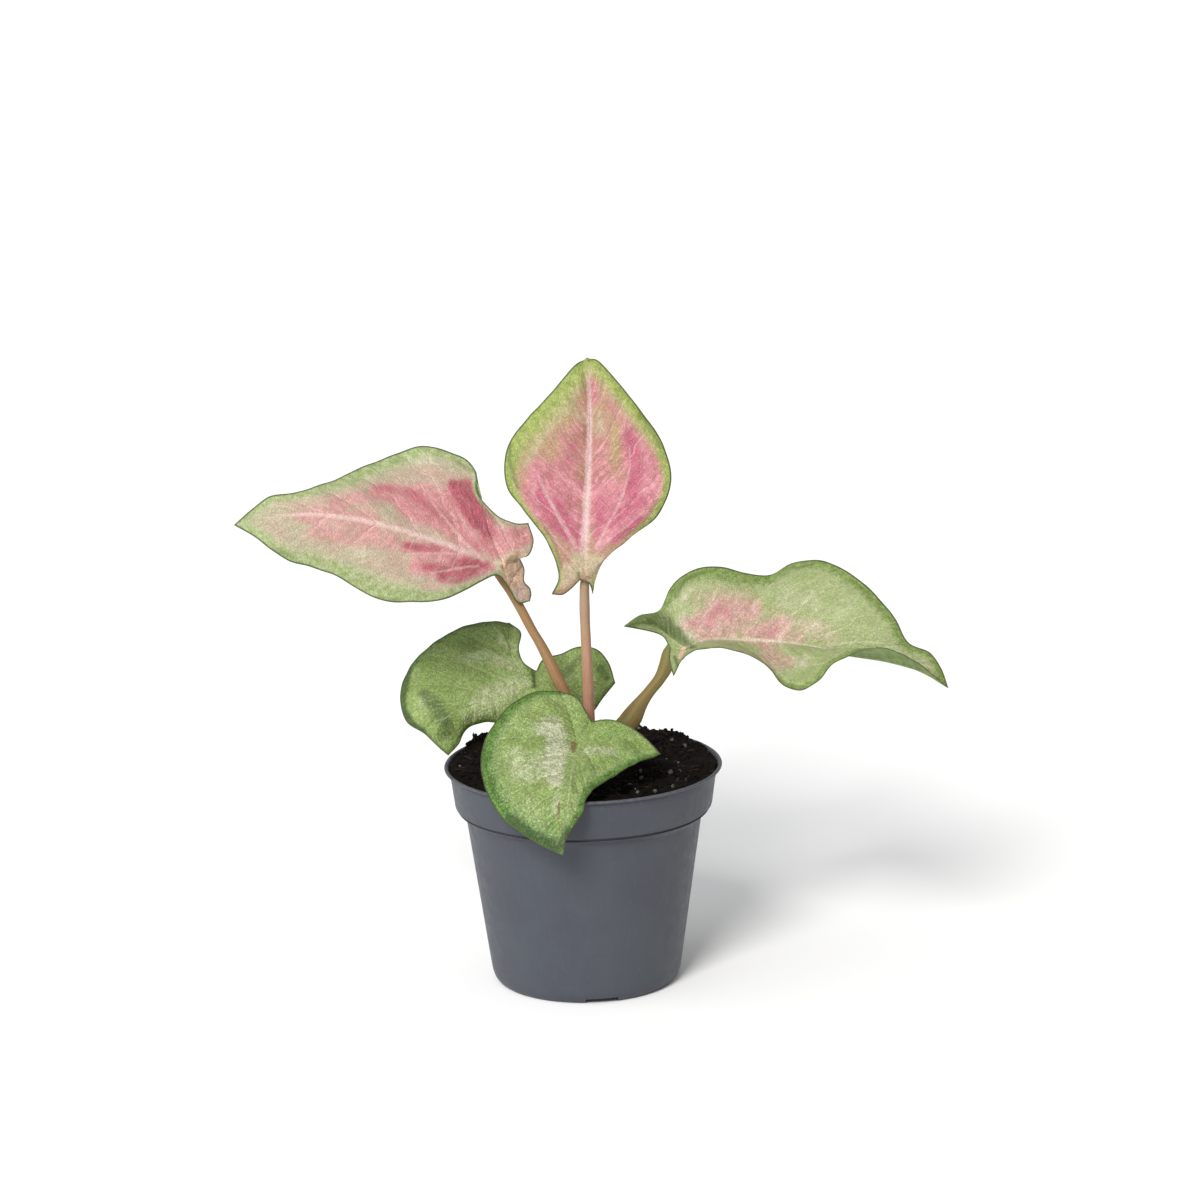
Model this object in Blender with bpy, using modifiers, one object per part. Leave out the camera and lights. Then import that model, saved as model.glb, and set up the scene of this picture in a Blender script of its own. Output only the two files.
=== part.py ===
"""Potted caladium: five arrow-shaped leaves on slim stalks in a grey nursery pot.

Lengths below are in millimetres. The finished meshes are in metres, +Z up,
with the origin on the pot's axis at ground level. The front of the plant,
as photographed, faces -Y.
"""
import math

import bmesh
import bpy
import numpy as np

MM = 0.001

# Pot
POT_STEPS = 48
FLOOR_TOP = 4.4
FLOOR_UNDER = 3.0
PAD_RADIUS = 4.0
FOOT_INNER = 34.5
FOOT_OUTER = 37.5
POT_OUTSIDE = [
    (59.6, 96.0), (60.0, 95.4), (59.2, 93.6), (57.6, 91.0), (57.0, 89.5),
    (55.5, 78.0), (54.9, 77.0), (51.3, 74.4), (50.9, 73.5), (41.7, 9.0),
    (41.1, 5.0), (40.2, 2.2), (38.9, 0.6), (FOOT_OUTER, 0.0),
]
POT_INSIDE = [
    (37.4, FLOOR_TOP), (39.2, 5.4), (40.0, 8.0), (49.5, 74.0), (49.9, 75.2),
    (53.6, 78.0), (54.2, 79.0), (55.7, 89.9), (56.3, 91.6), (57.8, 94.2), (58.5, 96.0),
]
NOTCH_COUNT = 4
NOTCH_TURN = -80.5
NOTCH_WIDTH = 14.0
NOTCH_HEIGHT = 2.3
DRAIN_RADIUS = 4.0
DRAIN_CIRCLE = 24.0

# Soil
SOIL_STEPS = 48
CLEARANCE = 0.3
SOIL_FRONT = 90.0
SOIL_RISE = 8.5
SOIL_RISE_FROM = -45.0
SOIL_RISE_OVER = 85.0
SOIL_RIGHT_DIP = 4.0
SOIL_RIGHT_FROM = 30.0
SOIL_RIGHT_OVER = 25.0
SOIL_WAVE = 0.9
SOIL_WAVES = 6
SOIL_WAVE_NUMBER = 0.22
SOIL_SEED = 11
SOIL_RINGS = (8.0, 16.0, 24.0, 32.0, 39.0, 45.0, 50.0, 53.5)
SOIL_EDGE = 89.5
SOIL_EDGE_FROM = 44.0
SOIL_EDGE_OVER = 11.0
SOIL_EDGE_DROP = 1.0
SOIL_LIMIT = SOIL_EDGE_FROM + SOIL_EDGE_OVER
SOIL_WALL_TOP = 86.0
HOLE_OVERRUN = 2.0
HOLE_TOP = 115.0

# Tuber
TUBER_CENTRE = (2.0, 0.0, 72.0)
TUBER_RADII = (17.0, 15.0, 12.0)
TUBER_SIDES = 20
TUBER_BANDS = 12

# Leaf blades
BLADE = 0.8
LOBE_RIBS = 4
FLANK_RIBS = 13
COLUMNS = 5
SWEEP = 0.5
LINE_STEPS = 24

# Stalks
STALK_SIDES_SETTING = 3
STALK_STATIONS = 17
STALK_TAPER = 2.0
STALK_TURN_DOWN = 99.0

# A leaf is drawn in its own axes: along the midrib, across it to the left seen
# from above, and up from the blade. 'attach' is where the stalk meets it, and
# 'turn' gives the heading, pitch and roll of those axes in degrees. Each half
# has a lobe vein from the attachment to the tip of its basal lobe, an inner
# margin from the notch to that tip, an outer margin from the tip to the flank,
# and a flank margin that ends at the leaf's tip. 'crown' is how far the blade
# bulges between vein and margin at the lobe, the base, the middle and the tip.
LEAVES = {
    "top": {
        "attach": (2, 4, 178), "turn": (85, 74, 0),
        "midrib": [(19.5, 1, -2), (45.5, 0, -4), (75.5, -1, -3), (89.5, -0.5, -2), (95, -0.5, -4),
                   (94.5, 0, -9)],
        "left": {
            "crown": (0, 1, 3, 1),
            "vein": [(-2.5, 6.5, 1)],
            "inner": [(-2, 2, 0), (-5.5, 5.5, 0), (-8.5, 9, 1), (-8, 13.5, 3)],
            "outer": [(-1.5, 11.5, 2), (6, 11, 1), (17, 17.5, 1)],
            "flank": [(29, 26, 2), (38, 33, 2), (45.5, 34.5, 2), (57, 32, 1), (68, 24, 0),
                      (79, 13, 0), (91, 5, -1)],
        },
        "right": {
            "crown": (0, 1, 3, 1),
            "vein": [(-1.5, -3.5, -2)],
            "inner": [(-2, 2, 0), (-3, -1.5, -1), (-8.5, -3.5, -4)],
            "outer": [(-0.5, -5, -3), (6, -7, -2), (13.5, -12.5, -2), (19, -21, -2)],
            "flank": [(24, -29, -1), (31.5, -34.5, 0), (40.5, -37, 0), (56, -33.5, -1), (73, -22, -1),
                      (86, -10.5, -1), (92.5, -5, -2)],
        },
    },
    "left": {
        "attach": (-32.5, -4, 184.5), "turn": (191, 12, -45),
        "midrib": [(5, -1, 1), (20.5, -3, 4), (35.5, -5.5, 6), (51.5, -7, 8), (71, -8.5, 8), (90, -8, 6),
                   (115.5, -1, 0)],
        "left": {
            "crown": (0, 0, -2, 0),
            "vein": [(-4, 1, -5), (-9.5, 3.5, -11)],
            "inner": [(-7.5, -6.5, -1), (-11, -4, -6), (-11, 0, -9), (-15, 1.5, -12), (-16.5, 3, -14),
                      (-16, 5, -16)],
            "outer": [(-11, 7.5, -15), (-4.5, 5, -8), (2, 2.5, -1)],
            "flank": [(8.5, 7.5, 1), (15.5, 14, 3), (22.5, 20.5, 5), (30, 26, 6), (41.5, 28.5, 6),
                      (52.5, 28.5, 5), (62.5, 24, 4), (73.5, 18.5, 3), (83, 15.5, 3), (92.5, 15, 3),
                      (101, 9.5, 2), (109, 3, 1)],
        },
        "right": {
            "crown": (0, 1, 2, 0),
            "vein": [(-4, -8.5, 4)],
            "inner": [(-7.5, -6.5, -1), (-11, -6, 1), (-12.5, -12, 3), (-10, -21.5, 4)],
            "outer": [(-3.5, -18.5, 5), (3.5, -20, 6), (9, -24.5, 7), (13.5, -30.5, 8)],
            "flank": [(15.5, -40.5, 9), (19, -46.5, 9), (27, -50, 9), (37, -49, 8), (50, -44, 7),
                      (62.5, -34.5, 7), (78.5, -21.5, 8), (92.5, -16, 8), (103, -14.5, 6), (110, -8.5, 3)],
        },
    },
    "right": {
        "attach": (46, -2, 146), "turn": (-15, 0, 50),
        "midrib": [(4.5, 3.5, 0), (20, 5, 1), (35.5, 4.5, 3), (55.5, 2, 4), (69.5, -1, 5), (89, -3.5, 5),
                   (101.5, -5, 1), (113, -9, -6)],
        "left": {
            "crown": (1, 2, 3, 1),
            "vein": [(-8.5, 6.5, -3), (-18, 13.5, -5)],
            "inner": [(-9.5, 2.5, -4), (-13, 8.5, -5), (-22.5, 11.5, -7), (-32.5, 14, -9)],
            "outer": [(-25.5, 18, -6), (-15, 19, -1), (-13.5, 22.5, 1), (-12, 27.5, 3), (-7.5, 32.5, 4)],
            "flank": [(-0.5, 36, 5), (9, 38, 4), (19.5, 38, 1), (30, 38.5, -3), (38.5, 43, -2),
                      (48, 44.5, 2), (59.5, 41, 5), (70, 34, 7), (80.5, 26, 8), (89.5, 14, 8),
                      (95.5, 4.5, 6), (104.5, 3.5, 2), (109, -2.5, 0)],
        },
        "right": {
            "crown": (0, 0, 0, 0),
            "vein": [(-3.5, -6.5, 2)],
            "inner": [(-9.5, 2.5, -4), (-7.5, -6, 0), (-3.5, -15, 5)],
            "outer": [(-0.5, -10.5, 8), (4.5, -7.5, 13)],
            "flank": [(11, -8.5, 20), (26.5, -11, 24), (34, -11.5, 22), (40, -15, 19), (50, -23, 18),
                      (56, -24.5, 19), (62.5, -22, 21), (69, -15.5, 24), (76, -11, 28), (82.5, -9.5, 30),
                      (90.5, -8, 28), (98, -6.5, 19), (104.5, -7, 9)],
        },
    },
    "back": {
        "attach": (-19.5, 18, 126.5), "turn": (200, -20, -45),
        "midrib": [(12.5, -1.5, 2), (26.5, -3, 3), (40, -4.5, 1), (47.5, -3.5, -5), (47, 4.5, -16)],
        "left": {
            "crown": (0, 0, 0, 0),
            "vein": [(-12, 0.5, -3), (-23, 5.5, -6)],
            "inner": [(-3, -6, 0), (-7.5, -8, -1), (-17.5, -9.5, -3), (-26, -9, -4), (-32, -4.5, -5),
                      (-33.5, 2, -6), (-32, 12.5, -8)],
            "outer": [(-24, 15.5, -10), (-16.5, 19, -11), (-8.5, 18.5, -12)],
            "flank": [(3.5, 14, -12), (16, 6.5, -12), (23.5, 1, -12), (33, -2, -14), (41.5, 2, -15)],
        },
        "right": {
            "crown": (1, 2, 3, 0),
            "vein": [(3, -7.5, 2), (3.5, -17.5, 4)],
            "inner": [(-3, -6, 0), (0.5, -9.5, 3), (0, -16, 5), (-5, -24, 5), (-2.5, -30, 5)],
            "outer": [(2, -33, 4), (8.5, -36, 2)],
            "flank": [(16.5, -38, 1), (28, -37, 0), (39.5, -34, -2), (49.5, -29.5, -4),
                      (54.5, -23.5, -5), (55.5, -14, -8), (51, -6, -11), (48.5, -0.5, -14)],
        },
    },
    "front": {
        "attach": (-2.5, -29, 113), "turn": (263, -37, 0),
        "midrib": [(15, 0.5, 5), (34.5, 1, 9.5), (47, 0, 6), (58.5, -0.5, 0)],
        "left": {
            "crown": (0, 1, 1, 0),
            "vein": [(-4, 11.5, -0.5), (-2, 24, -2)],
            "inner": [(-12, 5.5, -0.5), (-13, 12.5, 0), (-11.5, 18.5, 0), (-5, 29, -2.5), (3, 36, -3)],
            "outer": [(11.5, 26, 1.5), (21, 17, 4)],
            "flank": [(30, 10, 7), (36, 7.5, 7.5), (40.5, 7, 6.5), (45.5, 4.5, 5.5), (51.5, 1, 3.5)],
        },
        "right": {
            "crown": (1, 2, 2, 0),
            "vein": [(-13.5, -3.5, -1.5)],
            "inner": [(-12, 5.5, -0.5), (-16, 3, 1), (-23.5, -2, 1.5), (-25, -9, 3.5)],
            "outer": [(-23, -19, 5.5), (-15.5, -28.5, 6.5), (-5.5, -35, 6)],
            "flank": [(5, -39, 4.5), (15.5, -39, 4), (29.5, -35, 3.5), (43, -26, 2),
                      (49.5, -17.5, 1), (55, -8.5, 0.5)],
        },
    },
}

# A stalk runs from its blade down to the tuber: 'line' holds the centre line
# above the soil with its radius at each point, and 'foot' is where it goes
# straight down through the soil.
STALKS = {
    "top": {
        "line": [(2.3, 6.4, 179, 1), (2.2, 7.7, 174, 1.8), (2, 8.6, 162, 1.9), (2.2, 8.2, 148.5, 2),
                 (2.4, 7, 138, 2.1), (2.7, 6, 127, 2.4), (2.9, 5, 112, 2.5)],
        "foot": (3.0, 4.5),
    },
    "left": {
        "line": [(-35.3, -3.9, 184.3, 1), (-35.3, -1.6, 181.9, 1.7), (-33.2, 2.6, 177.6, 1.9),
                 (-28.7, 5.5, 170.6, 1.9), (-24.6, 6.3, 163.6, 1.8), (-20, 4, 154.5, 1.7),
                 (-16.3, 1, 148, 1.8), (-12, -2, 139, 2.2), (-6, -3.3, 124, 2.5), (-2.5, -3.5, 110, 2.6)],
        "foot": (-1.0, -3.5),
    },
    "right": {
        "line": [(46.6, -1.2, 144.9, 1), (46, 0.6, 142.8, 1.6), (43, 1.4, 140.6, 2.1), (39.6, 1.6, 138, 2.4),
                 (35.4, 1, 133.2, 2.1),
                 (30.6, 0, 128, 2), (26.2, -0.5, 122.4, 2.5), (21.2, -1, 115.6, 3.5), (15, -0.8, 107.5, 4)],
        "foot": (9.5, -0.5),
    },
    "back": {
        "line": [(-19.5, 19.2, 125.4, 1), (-19.2, 22.2, 122.3, 1.7), (-17.3, 24, 117, 1.8),
                 (-14.3, 23.3, 110.5, 1.9), (-11, 19, 105, 2), (-8.4, 13.8, 101, 2.1)],
        "foot": (-7.0, 10.5),
    },
    "front": {
        "line": [(-2.4, -28.2, 112, 1), (-1.9, -26, 109.7, 1.7), (0.5, -22, 107.3, 1.8),
                 (3, -16, 105.5, 2), (4.3, -11.5, 103.3, 2.1)],
        "foot": (4.5, -9.5),
    },
}

COLOURS = {
    "pot": ((0.105, 0.125, 0.15), 0.6),
    "soil": ((0.018, 0.012, 0.009), 0.95),
    "tuber": ((0.16, 0.1, 0.06), 0.85),
    "leaf_top": ((0.56, 0.33, 0.32), 0.5),
    "leaf_left": ((0.5, 0.3, 0.28), 0.5),
    "leaf_right": ((0.34, 0.4, 0.2), 0.5),
    "leaf_back": ((0.2, 0.3, 0.1), 0.5),
    "leaf_front": ((0.28, 0.4, 0.14), 0.5),
    "stalk_pale": ((0.4, 0.26, 0.18), 0.55),
    "stalk_olive": ((0.25, 0.22, 0.1), 0.55),
}


def clear_scene():
    for thing in list(bpy.data.objects):
        bpy.data.objects.remove(thing, do_unlink=True)


def new_collection(name):
    group = bpy.data.collections.new(name)
    bpy.context.scene.collection.children.link(group)
    return group


def material(name):
    colour, roughness = COLOURS[name]
    made = bpy.data.materials.new(name)
    made.use_nodes = True
    shader = made.node_tree.nodes["Principled BSDF"]
    shader.inputs["Base Color"].default_value = (*colour, 1.0)
    shader.inputs["Roughness"].default_value = roughness
    shader.inputs["Metallic"].default_value = 0.0
    made.diffuse_color = (*colour, 1.0)
    return made


def add_mesh(name, points, faces, group, finish=None):
    mesh = bpy.data.meshes.new(name)
    mesh.from_pydata([tuple(float(c) * MM for c in point) for point in points], [], faces)
    mesh.update()
    thing = bpy.data.objects.new(name, mesh)
    group.objects.link(thing)
    if finish:
        mesh.materials.append(finish)
    return thing


def as_cutter(thing):
    thing.hide_render = True
    thing.display_type = "WIRE"
    return thing


def cut(thing, cutter):
    step = thing.modifiers.new("cut", "BOOLEAN")
    step.operation = "DIFFERENCE"
    step.solver = "EXACT"
    step.object = cutter


def shade_smooth(thing, angle=35.0):
    mesh = thing.data
    for face in mesh.polygons:
        face.use_smooth = True
    mesh.set_sharp_from_angle(angle=math.radians(angle))


def box(name, low, high, turn, group):
    corners = [(x, y, z) for x in (low[0], high[0]) for y in (low[1], high[1]) for z in (low[2], high[2])]
    c, s = math.cos(turn), math.sin(turn)
    points = [(x * c - y * s, x * s + y * c, z) for x, y, z in corners]
    faces = [(0, 1, 3, 2), (4, 6, 7, 5), (0, 4, 5, 1), (2, 3, 7, 6), (0, 2, 6, 4), (1, 5, 7, 3)]
    return as_cutter(add_mesh(name, points, faces, group))


def rod(name, centre, radius, low, high, group, sides=24):
    turns = [2 * math.pi * k / sides for k in range(sides)]
    ring = [(centre[0] + radius * math.cos(t), centre[1] + radius * math.sin(t)) for t in turns]
    points = [(x, y, low) for x, y in ring] + [(x, y, high) for x, y in ring]
    faces = [tuple(reversed(range(sides))), tuple(range(sides, 2 * sides))]
    faces += [(k, (k + 1) % sides, sides + (k + 1) % sides, sides + k) for k in range(sides)]
    return as_cutter(add_mesh(name, points, faces, group))


def smooth_line(points):
    """A smooth curve through the points: its fine points, their lengths, and the knots' lengths."""
    knots = np.array(points, float)
    times = np.concatenate(([0.0], np.cumsum(np.linalg.norm(np.diff(knots, axis=0), axis=1))))
    slopes = np.gradient(knots, times, axis=0)
    fine = [knots[:1]]
    t = (np.arange(1, LINE_STEPS + 1) / LINE_STEPS)[:, None]
    for i in range(len(knots) - 1):
        span = times[i + 1] - times[i]
        start = (2 * t**3 - 3 * t**2 + 1) * knots[i] + (t**3 - 2 * t**2 + t) * span * slopes[i]
        end = (3 * t**2 - 2 * t**3) * knots[i + 1] + (t**3 - t**2) * span * slopes[i + 1]
        fine.append(start + end)
    fine = np.concatenate(fine)
    lengths = np.concatenate(([0.0], np.cumsum(np.linalg.norm(np.diff(fine, axis=0), axis=1))))
    return fine, lengths, lengths[::LINE_STEPS]


def along_line(line, wanted):
    fine, lengths, _ = line
    return np.stack([np.interp(wanted, lengths, fine[:, k]) for k in range(3)], axis=-1)


def leaf_axes(heading, pitch, roll):
    h, p, q = np.radians([heading, pitch, roll])
    along = np.array([np.cos(p) * np.cos(h), np.cos(p) * np.sin(h), np.sin(p)])
    level = np.array([-np.sin(h), np.cos(h), 0.0])
    upright = np.cross(along, level)
    across = level * np.cos(q) + upright * np.sin(q)
    normal = upright * np.cos(q) - level * np.sin(q)
    return np.array([along, across, normal])


def panel(starts, ends, crown):
    """Straight ribs from starts to ends, each bulging by its crown."""
    w = np.linspace(0, 1, COLUMNS + 1)[None, :, None]
    rows = starts[:, None, :] * (1 - w) + ends[:, None, :] * w
    rows[:, :, 2] += np.asarray(crown)[:, None] * 4 * w[:, :, 0] * (1 - w[:, :, 0])
    return rows


def half_panels(midrib, half):
    tip = half["inner"][-1]
    rib = smooth_line(midrib)
    vein = smooth_line([(0, 0, 0)] + half["vein"] + [tip])
    inner = smooth_line(half["inner"])
    edge = smooth_line([tip] + half["outer"] + half["flank"] + [midrib[-1]])
    shoulder = edge[2][len(half["outer"])]
    lobe, base, middle, end = half["crown"]
    k = np.arange(LOBE_RIBS + 1) / LOBE_RIBS
    s = np.arange(FLANK_RIBS + 1) / FLANK_RIBS
    reach = shoulder + (edge[1][-1] - shoulder) * (s + SWEEP * s * (1 - s))
    vein_points = along_line(vein, vein[1][-1] * k)
    lobe_crown = 4 * lobe * k * (1 - k)
    inner_rows = panel(vein_points, along_line(inner, inner[1][-1] * k), lobe_crown)
    outer_rows = panel(vein_points, along_line(edge, shoulder * (1 - k)), base * (1 - k) + lobe_crown)
    flank_crown = np.interp(s, (0, 0.5, 0.85, 1), (base, middle, end, 0))
    flank_rows = panel(along_line(rib, rib[1][-1] * s), along_line(edge, reach), flank_crown)
    return (inner_rows, 1), (outer_rows, -1), (flank_rows, 1)


def leaf_surface(leaf):
    """One sheet of triangles in the row's frame, its faces turned to the blade's upper side."""
    midrib = [(0.0, 0.0, 0.0)] + leaf["midrib"]
    points = []
    index = {}
    faces = []

    def corner(point):
        key = tuple(np.round(point, 3) + 0.0)
        if key not in index:
            index[key] = len(points)
            points.append(point)
        return index[key]

    for side, sign in (("left", 1), ("right", -1)):
        for rows, way in half_panels(midrib, leaf[side]):
            grid = [[corner(point) for point in row] for row in rows]
            for low, high in zip(grid, grid[1:]):
                for j in range(COLUMNS):
                    a, b, c, d = low[j], high[j], high[j + 1], low[j + 1]
                    for face in ((a, b, c), (a, c, d)):
                        if len(set(face)) == 3:
                            faces.append(face if sign * way > 0 else face[::-1])
    world = np.array(leaf["attach"], float) + np.array(points) @ leaf_axes(*leaf["turn"])
    return world, faces


def make_leaf(name, leaf, group, finish):
    points, faces = leaf_surface(leaf)
    thing = add_mesh(name, points, faces, group, finish)
    for face in thing.data.polygons:
        face.use_smooth = True
    thick = thing.modifiers.new("thickness", "SOLIDIFY")
    thick.thickness = BLADE * MM
    thick.offset = 0.0
    return thing


def tuber_top(x, y):
    """Height of the tuber's upper surface above the point, or its middle height outside it."""
    u = ((x - TUBER_CENTRE[0]) / TUBER_RADII[0]) ** 2 + ((y - TUBER_CENTRE[1]) / TUBER_RADII[1]) ** 2
    return TUBER_CENTRE[2] + TUBER_RADII[2] * math.sqrt(max(0.0, 1 - u))


def stalk_end(foot, radius):
    """Lowest height of a stalk whose flat end clears the tuber below it."""
    dx, dy = TUBER_CENTRE[0] - foot[0], TUBER_CENTRE[1] - foot[1]
    distance = math.hypot(dx, dy)
    step = min(radius, distance)
    return tuber_top(foot[0] + dx / distance * step, foot[1] + dy / distance * step) + CLEARANCE


def make_stalk(name, stalk, group, finish):
    x, y = stalk["foot"]
    foot_radius = stalk["line"][-1][3]
    end = stalk_end(stalk["foot"], foot_radius)
    bend = [(x, y, STALK_TURN_DOWN), (x, y, (STALK_TURN_DOWN + end) / 2), (x, y, end)]
    line = smooth_line([point[:3] for point in stalk["line"]] + bend)
    knot_radii = [point[3] for point in stalk["line"]] + [foot_radius] * len(bend)
    bent = line[2][-3]
    stations = np.concatenate(([0.0], np.linspace(STALK_TAPER, bent, STALK_STATIONS), [line[1][-1]]))
    centre = along_line(line, stations)
    radii = np.interp(stations, line[2], knot_radii)
    curve = bpy.data.curves.new(name, "CURVE")
    curve.dimensions = "3D"
    curve.bevel_depth = MM
    curve.bevel_resolution = STALK_SIDES_SETTING
    curve.use_fill_caps = True
    spline = curve.splines.new("POLY")
    spline.points.add(len(centre) - 1)
    for knot, place, radius in zip(spline.points, centre, radii):
        knot.co = (*(float(c) * MM for c in place), 1.0)
        knot.radius = float(radius)
    rough = bpy.data.objects.new(name + "_line", curve)
    group.objects.link(rough)
    bpy.context.view_layer.update()
    tube = bpy.data.meshes.new_from_object(rough.evaluated_get(bpy.context.evaluated_depsgraph_get()))
    bpy.data.objects.remove(rough, do_unlink=True)
    work = bmesh.new()
    work.from_mesh(tube)
    bmesh.ops.remove_doubles(work, verts=work.verts, dist=0.01 * MM)
    bmesh.ops.triangulate(work, faces=[face for face in work.faces if len(face.verts) > 4])
    bmesh.ops.recalc_face_normals(work, faces=work.faces)
    work.to_mesh(tube)
    work.free()
    tube.name = name
    tube.materials.clear()
    tube.materials.append(finish)
    thing = bpy.data.objects.new(name, tube)
    group.objects.link(thing)
    shade_smooth(thing, 50.0)
    return thing


def screw_solid(name, profile, steps, group, finish):
    """A turned solid. The profile runs from the axis, over the top and down the outer side."""
    mesh = bpy.data.meshes.new(name)
    edges = [(k, k + 1) for k in range(len(profile) - 1)]
    mesh.from_pydata([(r * MM, 0.0, z * MM) for r, z in profile], edges, [])
    thing = bpy.data.objects.new(name, mesh)
    group.objects.link(thing)
    turn = thing.modifiers.new("turn", "SCREW")
    turn.axis = "Z"
    turn.steps = steps
    turn.render_steps = steps
    turn.use_merge_vertices = True
    turn.merge_threshold = 0.00001
    turn.use_smooth_shade = True
    mesh.materials.append(finish)
    return thing


def fixed_mesh(thing):
    """Turn the object's modifiers into its own mesh, with faces outward."""
    bpy.context.view_layer.update()
    made = bpy.data.meshes.new_from_object(thing.evaluated_get(bpy.context.evaluated_depsgraph_get()))
    old = thing.data
    thing.modifiers.clear()
    thing.data = made
    made.name = thing.name
    bpy.data.meshes.remove(old)
    work = bmesh.new()
    work.from_mesh(made)
    bmesh.ops.remove_doubles(work, verts=work.verts, dist=0.001 * MM)
    bmesh.ops.recalc_face_normals(work, faces=work.faces)
    work.to_mesh(made)
    work.free()


def make_pot(group, cutters):
    underside = [(FOOT_INNER, 0.0), (FOOT_INNER - 0.3, FLOOR_UNDER), (PAD_RADIUS + 0.2, FLOOR_UNDER)]
    pad = [(PAD_RADIUS, 0.0), (0.0, 0.0)]
    profile = [(0.0, FLOOR_TOP)] + POT_INSIDE + POT_OUTSIDE + underside + pad
    pot = screw_solid("pot", profile, POT_STEPS, group, material("pot"))
    fixed_mesh(pot)
    for k in range(NOTCH_COUNT):
        turn = math.radians(NOTCH_TURN + 360.0 * k / NOTCH_COUNT)
        low = (FOOT_INNER - 3.0, -NOTCH_WIDTH / 2, -1.0)
        high = (FOOT_OUTER + 6.0, NOTCH_WIDTH / 2, NOTCH_HEIGHT)
        cut(pot, box("foot_notch_%d" % k, low, high, turn, cutters))
        turn += math.pi / NOTCH_COUNT
        place = (DRAIN_CIRCLE * math.cos(turn), DRAIN_CIRCLE * math.sin(turn))
        cut(pot, rod("drain_%d" % k, place, DRAIN_RADIUS, 1.0, FLOOR_TOP + 2.0, cutters))
    fixed_mesh(pot)
    shade_smooth(pot)
    return pot


def soil_height(x, y, waves):
    t = np.clip((y - SOIL_RISE_FROM) / SOIL_RISE_OVER, 0.0, 1.0)
    level = SOIL_FRONT + SOIL_RISE * t * t * (3 - 2 * t)
    right = np.clip((x - SOIL_RIGHT_FROM) / SOIL_RIGHT_OVER, 0.0, 1.0)
    level -= SOIL_RIGHT_DIP * right * right * (3 - 2 * right)
    for kx, ky, start, share in waves:
        level += SOIL_WAVE * share * np.sin(kx * x + ky * y + start)
    out = np.clip((np.hypot(x, y) - SOIL_EDGE_FROM) / SOIL_EDGE_OVER, 0.0, 1.0)
    return level + (min(SOIL_EDGE, level) - level) * out * out


def pot_inner_radius(z):
    heights = [point[1] for point in POT_INSIDE]
    radii = [point[0] for point in POT_INSIDE]
    return float(np.interp(z, heights, radii))


def make_soil(group, cutters):
    rng = np.random.default_rng(SOIL_SEED)
    waves = [(*rng.uniform(-SOIL_WAVE_NUMBER, SOIL_WAVE_NUMBER, 2), rng.uniform(0, 2 * math.pi),
              rng.uniform(0.4, 1.0)) for _ in range(SOIL_WAVES)]
    turns = [2 * math.pi * k / SOIL_STEPS for k in range(SOIL_STEPS)]
    points = [(0.0, 0.0, float(soil_height(0.0, 0.0, waves)))]
    rings = []
    for radius in SOIL_RINGS:
        rings.append(len(points))
        for t in turns:
            x, y = radius * math.cos(t), radius * math.sin(t)
            points.append((x, y, float(soil_height(x, y, waves))))
    rings.append(len(points))
    for t in turns:
        x, y = SOIL_LIMIT * math.cos(t), SOIL_LIMIT * math.sin(t)
        z = float(soil_height(x, y, waves)) - SOIL_EDGE_DROP
        radius = pot_inner_radius(z) - 2 * CLEARANCE
        points.append((radius * math.cos(t), radius * math.sin(t), z))
    wall = [(place[0] - CLEARANCE, place[1]) for place in POT_INSIDE if place[1] < SOIL_WALL_TOP]
    wall.reverse()
    wall[-1] = (wall[-1][0], FLOOR_TOP + CLEARANCE)
    for radius, z in wall:
        rings.append(len(points))
        points += [(radius * math.cos(t), radius * math.sin(t), z) for t in turns]
    bottom = len(points)
    points.append((0.0, 0.0, FLOOR_TOP + CLEARANCE))
    faces = []
    n = SOIL_STEPS
    for k in range(n):
        m = (k + 1) % n
        faces.append((0, rings[0] + k, rings[0] + m))
        faces.append((bottom, rings[-1] + m, rings[-1] + k))
        for high, low in zip(rings, rings[1:]):
            faces.append((high + k, low + k, low + m))
            faces.append((high + k, low + m, high + m))
    soil = add_mesh("soil", points, faces, group, material("soil"))
    cut(soil, tuber_shape("tuber_space", CLEARANCE, cutters))
    for name, stalk in STALKS.items():
        radius = stalk["line"][-1][3] + CLEARANCE
        low = stalk_end(stalk["foot"], radius) - HOLE_OVERRUN
        cut(soil, rod("hole_" + name, stalk["foot"], radius, low, HOLE_TOP, cutters))
    fixed_mesh(soil)
    shade_smooth(soil, 40.0)
    return soil


def tuber_shape(name, grow, group):
    points = []
    for band in range(1, TUBER_BANDS):
        rise = math.pi * band / TUBER_BANDS - math.pi / 2
        for side in range(TUBER_SIDES):
            turn = 2 * math.pi * side / TUBER_SIDES
            way = (math.cos(rise) * math.cos(turn), math.cos(rise) * math.sin(turn), math.sin(rise))
            points.append([c + (r + grow) * u for c, r, u in zip(TUBER_CENTRE, TUBER_RADII, way)])
    low = len(points)
    points.append((TUBER_CENTRE[0], TUBER_CENTRE[1], TUBER_CENTRE[2] - TUBER_RADII[2] - grow))
    points.append((TUBER_CENTRE[0], TUBER_CENTRE[1], TUBER_CENTRE[2] + TUBER_RADII[2] + grow))
    last = (TUBER_BANDS - 2) * TUBER_SIDES
    faces = []
    for side in range(TUBER_SIDES):
        other = (side + 1) % TUBER_SIDES
        faces.append((low, other, side))
        faces.append((low + 1, last + side, last + other))
        for band in range(TUBER_BANDS - 2):
            here, up = band * TUBER_SIDES, (band + 1) * TUBER_SIDES
            faces.append((here + side, here + other, up + other, up + side))
    return as_cutter(add_mesh(name, points, faces, group))


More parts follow.
